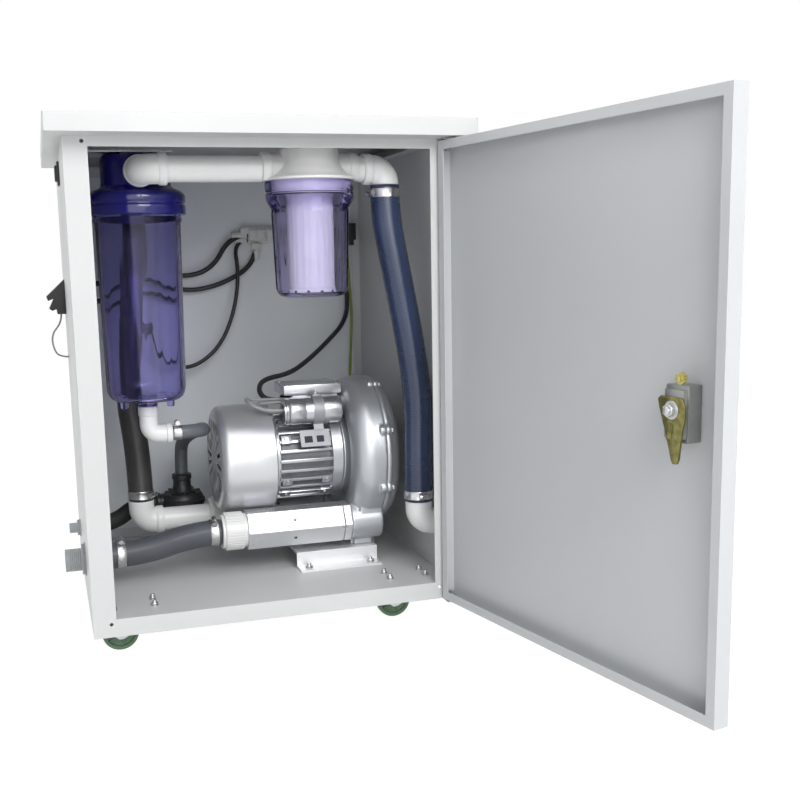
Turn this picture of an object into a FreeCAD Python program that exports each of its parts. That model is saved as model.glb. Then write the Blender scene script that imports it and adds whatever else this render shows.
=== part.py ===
import FreeCAD, Part
import math
import os
import re
import Sketcher
from FreeCAD import Placement, Rotation, Vector

# Dental suction unit: a sheet steel cabinet on four casters that holds a side-channel blower,
# two filter housings, their pipes and hoses, and the wiring. The door stands open at rest.
# Lengths are in millimetres. X runs to the right, Y to the back and Z up. While the pieces are
# made, X = 0 is the cabinet's left side, Y = 0 its front and Z = 0 the lower edge of its walls.

DRIVING_SIZES = {
    # cabinet
    "carcass_width": 464, "carcass_depth": 400, "carcass_height": 586, "sheet_wall": 1.2,
    "stile_width": 27.5, "top_rail": 11.5, "bottom_rail": 22, "back_flange": 14, "top_flange": 16,
    "lid_front_overhang": 40, "lid_side_overhang": 20, "lid_height": 21, "lid_return": 32,
    "lid_corner": 2, "screw_head_radius": 3.6, "screw_head_height": 2, "screw_radius": 1.9,
    "spare_hole_radius": 2.2, "spare_hole_inset": 6,
    # door and hinges
    "door_thickness": 18, "door_gap": 3.2, "door_flange": 11, "door_edge_gap": 1,
    "door_bottom_gap": 2, "door_top_gap": 3, "hinge_inset": 9, "hinge_pin_radius": 3,
    "pin_clearance": 0.05, "hinge_pin_length": 12, "hinge_tab_thickness": 1.5,
    "hinge_tab_width": 18, "hinge_tab_gap": 0.3, "door_open_angle": 101.5,
    # lock
    "lock_edge_distance": 55, "lock_height": 295, "lock_body_width": 34, "lock_body_height": 50,
    "lock_body_reach": 14, "barrel_radius": 8, "barrel_flange_radius": 11.5,
    "barrel_flange_thickness": 2.5, "barrel_clearance": 0.05, "cam_length": 50, "cam_thickness": 3,
    "cam_root_width": 22, "cam_tip_width": 11, "cam_gap": 0.4, "cam_nut_width": 11,
    "cam_nut_height": 5,
    # casters
    "caster_inset": 52, "caster_plate_length": 64, "caster_plate_width": 40,
    "caster_plate_thickness": 2, "caster_bolt_span": 50, "caster_bolt_pitch": 26,
    "caster_bolt_radius": 2.5, "bolt_hole_clearance": 0.3, "caster_race_radius": 14,
    "caster_race_height": 2.4, "fork_gap": 0.2, "fork_sheet": 1.6, "fork_crown_radius": 15,
    "caster_trail": 18, "wheel_radius": 23, "wheel_width": 16, "wheel_side_gap": 1.2,
    "wheel_top_gap": 2.5, "caster_axle_radius": 3, "axle_clearance": 0.04, "axle_head_radius": 4.6,
    "axle_head_height": 1.6, "stem_radius": 4,
    # big separator housing
    "separator_from_left": 92.5, "separator_from_front": 154, "separator_ring_drop": 82,
    "separator_ring_radius": 62, "separator_skirt": 31, "separator_dome_radius": 44,
    "separator_head_height": 77, "separator_foot_height": 266, "separator_bowl_top": 54.5,
    "separator_bowl_bottom": 50.5, "bowl_wall": 4, "bowl_rib_height": 1.6, "bowl_rib_width": 3,
    "bowl_rib_count": 12, "housing_thread_depth": 20, "thread_gap": 0.3, "port_height": 52,
    "port_boss_radius": 22, "port_bore_radius": 13, "separator_port_reach": 54,
    "drain_boss_radius": 13, "drain_boss_length": 8, "seal_height": 2, "seal_width": 4,
    # small filter housing
    "filter_from_right": 164, "filter_from_front": 70, "filter_ring_drop": 45,
    "filter_cap_radius": 58, "filter_cap_top_radius": 38, "filter_cap_height": 41,
    "filter_port_reach": 62, "filter_port_height": 15, "filter_collar_radius": 56,
    "filter_collar_height": 22, "filter_bowl_top": 49, "filter_bowl_bottom": 46,
    "filter_bowl_length": 144, "filter_thread_radius": 48, "filter_spigot": 16,
    "cartridge_radius": 32, "cartridge_length": 135.7, "cartridge_bore": 14,
    "cartridge_slot_count": 12, "bracket_thickness": 2.5, "filter_bracket_width": 40,
    "separator_bracket_width": 70, "separator_bracket_leg": 56,
    # rigid pipes and flexible hoses
    "pipe_radius": 16, "pipe_wall": 2, "socket_radius": 19.5, "elbow_bend": 19, "elbow_leg": 30,
    "elbow_short_leg": 20, "spigot_length": 22, "suction_hose_radius": 19, "return_hose_radius": 17.5,
    "exhaust_hose_radius": 17.5, "hose_wall": 2.4, "drain_pipe_radius": 12, "drain_elbow_leg": 20,
    "drain_hose_radius": 9.5, "drain_outlet_radius": 12, "clamp_width": 11, "clamp_band": 1,
    "clamp_screw_radius": 3.4, "clamp_screw_length": 17, "suction_port_height": 88,
    "suction_port_from_right": 24, "exhaust_stub_height": 62, "drain_stub_from_front": 305,
    "drain_stub_height": 66, "stub_reach": 26, "drain_stub_reach": 16, "drain_stub_radius": 7.8,
    "wall_nut_radius": 22, "wall_nut_thickness": 5, "drain_valve_from_left": 150,
    "drain_valve_from_front": 305, "drain_valve_radius": 33, "drain_valve_bottom": 82,
    "drain_valve_height": 24,
    # blower and motor
    "blower_from_front": 196, "blower_axis_height": 172, "blower_inset": 197.6,
    "blower_side_share": 0.35,
    "casing_depth": 44, "casing_radius": 106, "channel_centre_radius": 80, "casing_bulge": 26,
    "channel_radius": 20, "impeller_depth": 9.4, "impeller_gap": 0.6, "impeller_radius": 94, "casing_neck_radius": 45,
    "casing_flange": 8, "cover_thickness": 7, "cover_bulge": 24.5, "lug_radius": 7,
    "lug_count": 8, "port_spread": 54, "port_drop": 91, "port_block_radius": 27,
    "impeller_pocket_count": 26, "impeller_pocket_width": 10, "impeller_hub_radius": 20,
    "shaft_radius": 8, "shaft_nose_radius": 6, "bearing_radius": 17, "bearing_width": 10,
    "running_gap": 0.03, "stator_radius": 55, "stator_length": 98, "fin_height": 7.5,
    "fin_thickness": 2.4, "fin_count": 28, "fin_length": 82, "cowl_radius": 75,
    "cowl_length": 76, "cowl_wall": 1.6, "cowl_round": 14, "cowl_slot_count": 18,
    "cowl_slot_width": 4, "cowl_slot_length": 34, "fan_radius": 62, "fan_blade_count": 7,
    "fan_blade_width": 20, "fan_hub_radius": 15, "terminal_box_length": 64,
    "terminal_box_width": 56, "terminal_box_height": 36, "capacitor_radius": 17.5,
    "capacitor_length": 82, "capacitor_forward": 48, "capacitor_lift": 67, "strap_width": 15,
    "silencer_flats": 50, "silencer_length": 146, "coupling_radius": 26, "coupling_length": 34,
    "foot_length": 116, "foot_top_height": 44, "foot_sheet": 3, "foot_top_width": 132,
    "foot_flange": 24, "foot_bolt_radius": 3,
    # wiring
    "strip_length": 168, "strip_height": 24, "strip_depth": 17, "strip_from_right": 184,
    "strip_drop": 114, "mains_cable_radius": 3.6, "thin_cable_radius": 3, "lead_radius": 2.4,
    "earth_wire_radius": 2, "gland_radius": 9, "gland_nut_radius": 11, "gland_reach": 18,
    "wall_gland_from_back": 70, "wall_gland_drop": 174, "wall_gland_pitch": 24,
    "rear_gland_from_left": 118, "rear_gland_drop": 234, "plug_width": 30, "loop_wire_radius": 1.3,
    "switch_from_front": 200, "switch_drop": 40, "switch_height": 30, "switch_width": 26,
}
# Places that follow the cabinet's own size
FOLLOWING_SIZES = {
    "casing_from_left": "blower_inset + blower_side_share * carcass_width",
    "filter_from_left": "carcass_width - filter_from_right",
    "suction_port_from_left": "carcass_width - suction_port_from_right",
    "strip_from_left": "carcass_width - strip_from_right",
    "separator_ring_height": "carcass_height - separator_ring_drop",
    "separator_bowl_length": "carcass_height - separator_ring_drop - separator_foot_height",
    "filter_ring_height": "carcass_height - filter_ring_drop",
    "strip_from_floor": "carcass_height - strip_drop",
    "wall_gland_from_front": "carcass_depth - wall_gland_from_back",
    "wall_gland_height": "carcass_height - wall_gland_drop",
    "rear_gland_height": "carcass_height - rear_gland_drop",
}

doc = FreeCAD.newDocument("DentalSuctionUnit")
sheet = doc.addObject("Spreadsheet::Sheet", "Sizes")
cells = list(DRIVING_SIZES.items()) + [(alias, "=" + sum_of) for alias, sum_of in FOLLOWING_SIZES.items()]
for row, (alias, content) in enumerate(cells, start=1):
    sheet.set("A%d" % row, alias)
    sheet.set("B%d" % row, str(content))
    sheet.setAlias("B%d" % row, alias)
doc.recompute()


class Sizes:
    """The sheet's numbers, for the pieces whose shape is set in code."""


for alias, _ in cells:
    setattr(Sizes, alias, float(sheet.get(alias)))
S = Sizes


def bound(expression):
    """The expression with each size written as a reference to its cell."""
    return re.sub(r"[a-z]+(?:_[a-z]+)+", lambda name: "Sizes." + name.group(0), expression)


# Objects of the finished sub-parts, by their label
finished = {}


def finish(piece, label, base=Vector(0, 0, 0), turn=Rotation()):
    """Name a sub-part and put it at its place in the cabinet."""
    piece.Label = label
    piece.Placement = Placement(base, turn)
    finished[label] = piece
    return piece


def new_body(name):
    return doc.addObject("PartDesign::Body", name)


def new_sketch(body, plane_role, offset="0"):
    """A sketch on one of the body's own origin planes, moved along the plane's normal."""
    sketch = body.newObject("Sketcher::SketchObject", body.Name + "_sketch")
    plane = [item for item in body.Origin.OriginFeatures if item.Role == plane_role][0]
    sketch.AttachmentSupport = [(plane, "")]
    sketch.MapMode = "FlatFace"
    sketch.setExpression("AttachmentOffset.Base.z", bound(offset))
    return sketch


def bind_point(sketch, geometry, position, across, up):
    """Tie a point of the sketch to the origin by two dimensions."""
    for kind, expression in (("DistanceX", across), ("DistanceY", up)):
        number = sketch.addConstraint(Sketcher.Constraint(kind, -1, 1, geometry, position, 1.0))
        sketch.setExpression("Constraints[%d]" % number, bound(expression))


def add_outline(sketch, corners):
    """A closed outline of straight lines through corners given as pairs of expressions."""
    first = sketch.GeometryCount
    count = len(corners)
    for i in range(count):
        turn, next_turn = 2 * math.pi * i / count, 2 * math.pi * (i + 1) / count
        start = Vector(50 * math.cos(turn), 50 * math.sin(turn), 0)
        end = Vector(50 * math.cos(next_turn), 50 * math.sin(next_turn), 0)
        sketch.addGeometry(Part.LineSegment(start, end), False)
    for i in range(count):
        following = first + (i + 1) % count
        sketch.addConstraint(Sketcher.Constraint("Coincident", first + i, 2, following, 1))
    for i, (across, up) in enumerate(corners):
        bind_point(sketch, first + i, 1, across, up)


def add_rectangle(sketch, left, low, right, high):
    add_outline(sketch, [(left, low), (right, low), (right, high), (left, high)])


def add_circle(sketch, across, up, radius):
    index = sketch.addGeometry(Part.Circle(Vector(1, 1, 0), Vector(0, 0, 1), 1.0), False)
    bind_point(sketch, index, 3, across, up)
    number = sketch.addConstraint(Sketcher.Constraint("Radius", index, 1.0))
    sketch.setExpression("Constraints[%d]" % number, bound(radius))


def add_feature(body, kind, sketch, length, reverse=False, middle=False):
    """A Pad or Pocket of the given length."""
    feature = body.newObject("PartDesign::" + kind, body.Name + "_" + kind.lower())
    feature.Profile = sketch
    feature.Reversed = reverse
    feature.Midplane = middle
    feature.setExpression("Length", bound(length))
    return feature


def pad(body, sketch, length, reverse=False, middle=False):
    return add_feature(body, "Pad", sketch, length, reverse, middle)


def pocket(body, sketch, length, reverse=False, middle=False):
    return add_feature(body, "Pocket", sketch, length, reverse, middle)


def revolve(body, corners):
    """A full turn of an outline about the body's Z axis; corners are (radius, height)."""
    sketch = new_sketch(body, "XZ_Plane")
    add_outline(sketch, corners)
    feature = body.newObject("PartDesign::Revolution", body.Name + "_turned")
    feature.Profile = sketch
    feature.ReferenceAxis = (sketch, ["V_Axis"])
    feature.Angle = 360
    return feature


def polar(body, original, count):
    """Copies of a feature in a circle about the body's Z axis."""
    pattern = body.newObject("PartDesign::PolarPattern", body.Name + "_pattern")
    pattern.Originals = [original]
    axis = [item for item in body.Origin.OriginFeatures if item.Role == "Z_Axis"][0]
    pattern.Axis = (axis, [""])
    pattern.Angle = 360
    pattern.setExpression("Occurrences", bound(count))
    body.Tip = pattern
    return pattern


def block(name, base, lengths):
    """A Part box from six expressions."""
    item = doc.addObject("Part::Box", name)
    for axis, expression in zip("xyz", base):
        item.setExpression("Placement.Base." + axis, bound(expression))
    for side, expression in zip(("Length", "Width", "Height"), lengths):
        item.setExpression(side, bound(expression))
    return item


def rod(name, base, direction, radius, length):
    """A Part cylinder along a direction, from expressions."""
    item = doc.addObject("Part::Cylinder", name)
    item.Placement = Placement(Vector(0, 0, 0), Rotation(Vector(0, 0, 1), direction))
    for axis, expression in zip("xyz", base):
        item.setExpression("Placement.Base." + axis, bound(expression))
    item.setExpression("Radius", bound(radius))
    item.setExpression("Height", bound(length))
    return item


def ring(name, height, centre_radius, tube_radius):
    """A Part torus about Z from expressions."""
    item = doc.addObject("Part::Torus", name)
    item.setExpression("Placement.Base.z", bound(height))
    item.setExpression("Radius1", bound(centre_radius))
    item.setExpression("Radius2", bound(tube_radius))
    return item


def join(name, pieces):
    item = doc.addObject("Part::MultiFuse", name)
    item.Shapes = pieces
    return item


def carve(name, base, tools):
    """The base without the tools."""
    tool = tools[0] if len(tools) == 1 else join(name + "_tools", tools)
    item = doc.addObject("Part::Cut", name)
    item.Base = base
    item.Tool = tool
    return item


def group(label, pieces):
    """Like pieces as separate solids of one sub-part."""
    item = doc.addObject("Part::Compound", label)
    item.Links = pieces
    return finish(item, label)


def coded(label, shape):
    """A sub-part whose shape is made in code."""
    item = doc.addObject("Part::Feature", label)
    item.Shape = shape
    return finish(item, label)


RIGHT, BACK, UP = Vector(1, 0, 0), Vector(0, 1, 0), Vector(0, 0, 1)
LEFT, FRONT, DOWN = Vector(-1, 0, 0), Vector(0, -1, 0), Vector(0, 0, -1)
FLOOR = S.bottom_rail

# Cabinet carcass: one folded and welded shell with a front frame, a floor above an open base,
# flanges for the back panel and the lid, and holes for the fittings that pass its walls
carcass = new_body("Carcass")
sketch = new_sketch(carcass, "XY_Plane")
add_rectangle(sketch, "0", "0", "carcass_width", "carcass_depth - sheet_wall")
pad(carcass, sketch, "carcass_height")
INSIDE = ("sheet_wall", "sheet_wall", "carcass_width - sheet_wall", "carcass_depth - 2 * sheet_wall")
sketch = new_sketch(carcass, "XY_Plane", "bottom_rail")
add_rectangle(sketch, *INSIDE)
pocket(carcass, sketch, "carcass_height - bottom_rail - sheet_wall", reverse=True)
sketch = new_sketch(carcass, "XY_Plane")
add_rectangle(sketch, *INSIDE)
pocket(carcass, sketch, "bottom_rail - sheet_wall", reverse=True)
sketch = new_sketch(carcass, "XZ_Plane")
add_rectangle(sketch, "stile_width", "bottom_rail", "carcass_width - stile_width",
              "carcass_height - top_rail")
pocket(carcass, sketch, "sheet_wall")
sketch = new_sketch(carcass, "XZ_Plane", "-(carcass_depth - 2 * sheet_wall)")
add_rectangle(sketch, "back_flange", "bottom_rail + back_flange", "carcass_width - back_flange",
              "carcass_height - back_flange")
pocket(carcass, sketch, "sheet_wall")
sketch = new_sketch(carcass, "XY_Plane", "carcass_height - sheet_wall")
add_rectangle(sketch, "top_flange", "top_flange", "carcass_width - top_flange",
              "carcass_depth - top_flange")
pocket(carcass, sketch, "sheet_wall", reverse=True)

CASTER_CENTRES = {
    "front_left": ("caster_inset", "caster_inset"),
    "front_right": ("carcass_width - caster_inset", "caster_inset"),
    "rear_left": ("caster_inset", "carcass_depth - caster_inset"),
    "rear_right": ("carcass_width - caster_inset", "carcass_depth - caster_inset"),
}
BOLT_CORNERS = [("-", "-"), ("+", "-"), ("-", "+"), ("+", "+")]
caster_bolt_places = []
for across, along in CASTER_CENTRES.values():
    for side, end in BOLT_CORNERS:
        caster_bolt_places.append(("%s %s caster_bolt_span / 2" % (across, side),
                                   "%s %s caster_bolt_pitch / 2" % (along, end)))
FOOT_LEFT = "(casing_from_left + 38 - foot_length)"
FOOT_FRONT = "(blower_from_front - foot_top_width / 2)"
foot_bolt_places = []
for across in (FOOT_LEFT + " + 14", FOOT_LEFT + " + foot_length - 14"):
    for along in (FOOT_FRONT + " - foot_flange / 2", FOOT_FRONT + " + foot_top_width + foot_flange / 2"):
        foot_bolt_places.append((across, along))
sketch = new_sketch(carcass, "XY_Plane", "bottom_rail - sheet_wall")
for across, along in caster_bolt_places:
    add_circle(sketch, across, along, "caster_bolt_radius + bolt_hole_clearance")
for across, along in foot_bolt_places:
    add_circle(sketch, across, along, "foot_bolt_radius + bolt_hole_clearance")
pocket(carcass, sketch, "sheet_wall", reverse=True)
sketch = new_sketch(carcass, "YZ_Plane")
add_circle(sketch, "blower_from_front - port_spread", "exhaust_stub_height",
           "exhaust_hose_radius - hose_wall")
add_circle(sketch, "drain_stub_from_front", "drain_stub_height", "drain_stub_radius")
add_circle(sketch, "wall_gland_from_front", "wall_gland_height", "gland_radius")
add_circle(sketch, "wall_gland_from_front", "wall_gland_height - wall_gland_pitch", "gland_radius")
pocket(carcass, sketch, "sheet_wall", reverse=True)
sketch = new_sketch(carcass, "YZ_Plane", "carcass_width - sheet_wall")
add_circle(sketch, "filter_from_front", "suction_port_height", "pipe_radius")
pocket(carcass, sketch, "sheet_wall", reverse=True)
sketch = new_sketch(carcass, "XZ_Plane")
for across, height in (("stile_width - spare_hole_inset", "carcass_height - top_rail / 2"),
                       ("stile_width - spare_hole_inset", "bottom_rail - spare_hole_inset"),
                       ("carcass_width - stile_width + spare_hole_inset",
                        "bottom_rail - spare_hole_inset")):
    add_circle(sketch, across, height, "spare_hole_radius")
pocket(carcass, sketch, "sheet_wall")
finish(carcass, "carcass")

# Back panel: a flat sheet screwed to the carcass flanges, with the hole of the rear cable gland
back_panel = new_body("BackPanel")
sketch = new_sketch(back_panel, "XZ_Plane", "-(carcass_depth - sheet_wall)")
add_rectangle(sketch, "door_edge_gap", "bottom_rail", "carcass_width - door_edge_gap",
              "carcass_height - door_edge_gap")
add_circle(sketch, "rear_gland_from_left", "rear_gland_height", "gland_radius")
pad(back_panel, sketch, "sheet_wall", reverse=True)
finish(back_panel, "back_panel")

# Lid: a folded pan turned down over the sides, whose bottom returns rest on the carcass
lid = new_body("Lid")
LID_LEFT, LID_RIGHT = "-lid_side_overhang", "carcass_width + lid_side_overhang"
LID_FRONT, LID_BACK = "-lid_front_overhang", "carcass_depth"
sketch = new_sketch(lid, "XY_Plane", "carcass_height")
add_rectangle(sketch, LID_LEFT, LID_FRONT, LID_RIGHT, LID_BACK)
block_of_lid = pad(lid, sketch, "lid_height")
doc.recompute()
upright = []
for i, edge in enumerate(block_of_lid.Shape.Edges, start=1):
    if abs(edge.BoundBox.ZLength - S.lid_height) < 0.01:
        upright.append("Edge%d" % i)
rounding = lid.newObject("PartDesign::Fillet", "Lid_corners")
rounding.Base = (block_of_lid, upright)
rounding.setExpression("Radius", bound("lid_corner"))
sketch = new_sketch(lid, "XY_Plane", "carcass_height + sheet_wall")
add_rectangle(sketch, LID_LEFT + " + sheet_wall", LID_FRONT + " + sheet_wall",
              LID_RIGHT + " - sheet_wall", LID_BACK + " - sheet_wall")
pocket(lid, sketch, "lid_height - 2 * sheet_wall", reverse=True)
sketch = new_sketch(lid, "XY_Plane", "carcass_height")
add_rectangle(sketch, LID_LEFT + " + lid_return", LID_FRONT + " + lid_return + lid_side_overhang",
              LID_RIGHT + " - lid_return", LID_BACK + " - top_flange")
pocket(lid, sketch, "sheet_wall", reverse=True)
finish(lid, "lid")

# Panel screws: pan heads on the outside of the back panel
screws = []
BACK_FACE = "carcass_depth"
for across in ("back_flange / 2", "carcass_width / 2", "carcass_width - back_flange / 2"):
    for height in ("bottom_rail + back_flange / 2", "carcass_height / 2 + bottom_rail",
                   "carcass_height - back_flange / 2"):
        if across == "carcass_width / 2" and "/ 2 + bottom_rail" in height:
            continue
        screws.append(rod("PanelScrew", (across, BACK_FACE, height), BACK, "screw_head_radius",
                          "screw_head_height"))
group("panel_screws", screws)

# Hinge brackets: a tab on the front frame with its pin, one above the door and one below
TAB_LEFT = "carcass_width - hinge_inset - hinge_tab_width / 2"
PIN_AWAY = "-(door_gap + door_thickness / 2)"
TAB_REACH = "door_gap + door_thickness / 2 + hinge_tab_width / 2"
brackets = []
for name, tab_low, pin_low, pin_length in (
        ("HingeTop", "carcass_height - hinge_tab_gap - hinge_tab_thickness",
         "carcass_height - door_top_gap - hinge_pin_length", "hinge_pin_length + door_top_gap - "
         "hinge_tab_gap - hinge_tab_thickness"),
        ("HingeBottom", "door_bottom_gap - hinge_tab_gap - hinge_tab_thickness",
         "door_bottom_gap - hinge_tab_gap", "hinge_pin_length")):
    tab = block(name + "Tab", (TAB_LEFT, "-(" + TAB_REACH + ")", tab_low),
                ("hinge_tab_width", TAB_REACH, "hinge_tab_thickness"))
    pin = rod(name + "Pin", ("carcass_width - hinge_inset", PIN_AWAY, pin_low), UP,
              "hinge_pin_radius", pin_length)
    brackets.append(join(name, [tab, pin]))
group("hinge_brackets", brackets)

# Door: a folded tray whose inner flange is turned in all round. Its own frame has the hinge axis
# at the origin, the closed door to the left (-X) and the inside of the door at +Y
door = new_body("Door")
DOOR_FREE = "-(carcass_width - hinge_inset - door_edge_gap)"
DOOR_HINGED = "(hinge_inset - door_edge_gap)"
DOOR_TALL = "(carcass_height - door_top_gap - door_bottom_gap)"
sketch = new_sketch(door, "XY_Plane")
add_rectangle(sketch, DOOR_FREE, "-door_thickness / 2", DOOR_HINGED, "door_thickness / 2")
pad(door, sketch, DOOR_TALL)
sketch = new_sketch(door, "XZ_Plane", "door_thickness / 2 - sheet_wall")
add_rectangle(sketch, DOOR_FREE + " + sheet_wall", "sheet_wall", DOOR_HINGED + " - sheet_wall",
              DOOR_TALL + " - sheet_wall")
pocket(door, sketch, "door_thickness - 2 * sheet_wall")
sketch = new_sketch(door, "XZ_Plane")
add_rectangle(sketch, DOOR_FREE + " + door_flange", "door_flange", DOOR_HINGED + " - door_flange",
              DOOR_TALL + " - door_flange")
pocket(door, sketch, "door_thickness / 2")
sketch = new_sketch(door, "XY_Plane", "-1")
add_circle(sketch, "0", "0", "hinge_pin_radius + pin_clearance")
pocket(door, sketch, "carcass_height", reverse=True)
LOCK_ACROSS = "(" + DOOR_FREE + " + lock_edge_distance)"
sketch = new_sketch(door, "XZ_Plane", "door_thickness / 2")
add_circle(sketch, LOCK_ACROSS, "lock_height", "barrel_radius + barrel_clearance")
pocket(door, sketch, "sheet_wall")
HINGE_AXIS = Vector(S.carcass_width - S.hinge_inset, -S.door_gap - S.door_thickness / 2,
                    S.door_bottom_gap)
DOOR_TURN = Rotation(UP, S.door_open_angle)
finish(door, "door_panel", HINGE_AXIS, DOOR_TURN)

# Lock: a cast body on the inside of the door skin, a barrel that turns in it and a tapered cam
lock_body = new_body("LockBody")
SKIN_INSIDE = "(door_thickness / 2 - sheet_wall)"
sketch = new_sketch(lock_body, "XZ_Plane", SKIN_INSIDE)
add_outline(sketch, [
    (LOCK_ACROSS + " - lock_body_width / 2", "lock_height - lock_body_height / 2 + 5"),
    (LOCK_ACROSS + " - lock_body_width / 2 + 5", "lock_height - lock_body_height / 2"),
    (LOCK_ACROSS + " + lock_body_width / 2 - 5", "lock_height - lock_body_height / 2"),
    (LOCK_ACROSS + " + lock_body_width / 2", "lock_height - lock_body_height / 2 + 5"),
    (LOCK_ACROSS + " + lock_body_width / 2", "lock_height + lock_body_height / 2 - 5"),
    (LOCK_ACROSS + " + lock_body_width / 2 - 5", "lock_height + lock_body_height / 2"),
    (LOCK_ACROSS + " - lock_body_width / 2 + 5", "lock_height + lock_body_height / 2"),
    (LOCK_ACROSS + " - lock_body_width / 2", "lock_height + lock_body_height / 2 - 5")])
pad(lock_body, sketch, SKIN_INSIDE + " + lock_body_reach", reverse=True)
sketch = new_sketch(lock_body, "XZ_Plane", SKIN_INSIDE)
add_circle(sketch, LOCK_ACROSS, "lock_height", "barrel_radius + barrel_clearance")
pocket(lock_body, sketch, "door_thickness + lock_body_reach")
finish(lock_body, "lock_body", HINGE_AXIS, DOOR_TURN)

LOCK_SKIN = "-door_thickness / 2"
flange = rod("BarrelFlange", (LOCK_ACROSS, LOCK_SKIN + " - barrel_flange_thickness", "lock_height"),
             BACK, "barrel_flange_radius", "barrel_flange_thickness")
core = rod("BarrelCore", (LOCK_ACROSS, LOCK_SKIN, "lock_height"), BACK, "barrel_radius",
           "door_thickness / 2 + lock_body_reach + cam_gap")
keyway = block("Keyway", (LOCK_ACROSS + " - 0.8", LOCK_SKIN + " - barrel_flange_thickness",
                          "lock_height - 4"), ("1.6", "6", "8"))
finish(carve("LockBarrel", join("BarrelSolid", [flange, core]), [keyway]), "lock_barrel",
       HINGE_AXIS, DOOR_TURN)

cam = new_body("LockCam")
CAM_FACE = "-(lock_body_reach + cam_gap)"
sketch = new_sketch(cam, "XZ_Plane", CAM_FACE)
add_outline(sketch, [
    (LOCK_ACROSS + " - cam_tip_width / 2", "lock_height - cam_length"),
    (LOCK_ACROSS + " + cam_tip_width / 2", "lock_height - cam_length"),
    (LOCK_ACROSS + " + cam_root_width / 2", "lock_height + 4"),
    (LOCK_ACROSS + " + cam_root_width / 2 - 4", "lock_height + 12"),
    (LOCK_ACROSS + " - cam_root_width / 2 + 4", "lock_height + 12"),
    (LOCK_ACROSS + " - cam_root_width / 2", "lock_height + 4")])
pad(cam, sketch, "cam_thickness", reverse=True)
sketch = new_sketch(cam, "XZ_Plane", CAM_FACE + " - cam_thickness")
add_outline(sketch, [("%s + cam_nut_width / 1.732 * %.4f" % (LOCK_ACROSS, math.cos(math.radians(a))),
                      "lock_height + cam_nut_width / 1.732 * %.4f" % math.sin(math.radians(a)))
                     for a in range(0, 360, 60)])
pad(cam, sketch, "cam_nut_height", reverse=True)
finish(cam, "lock_cam", HINGE_AXIS, DOOR_TURN)

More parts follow.
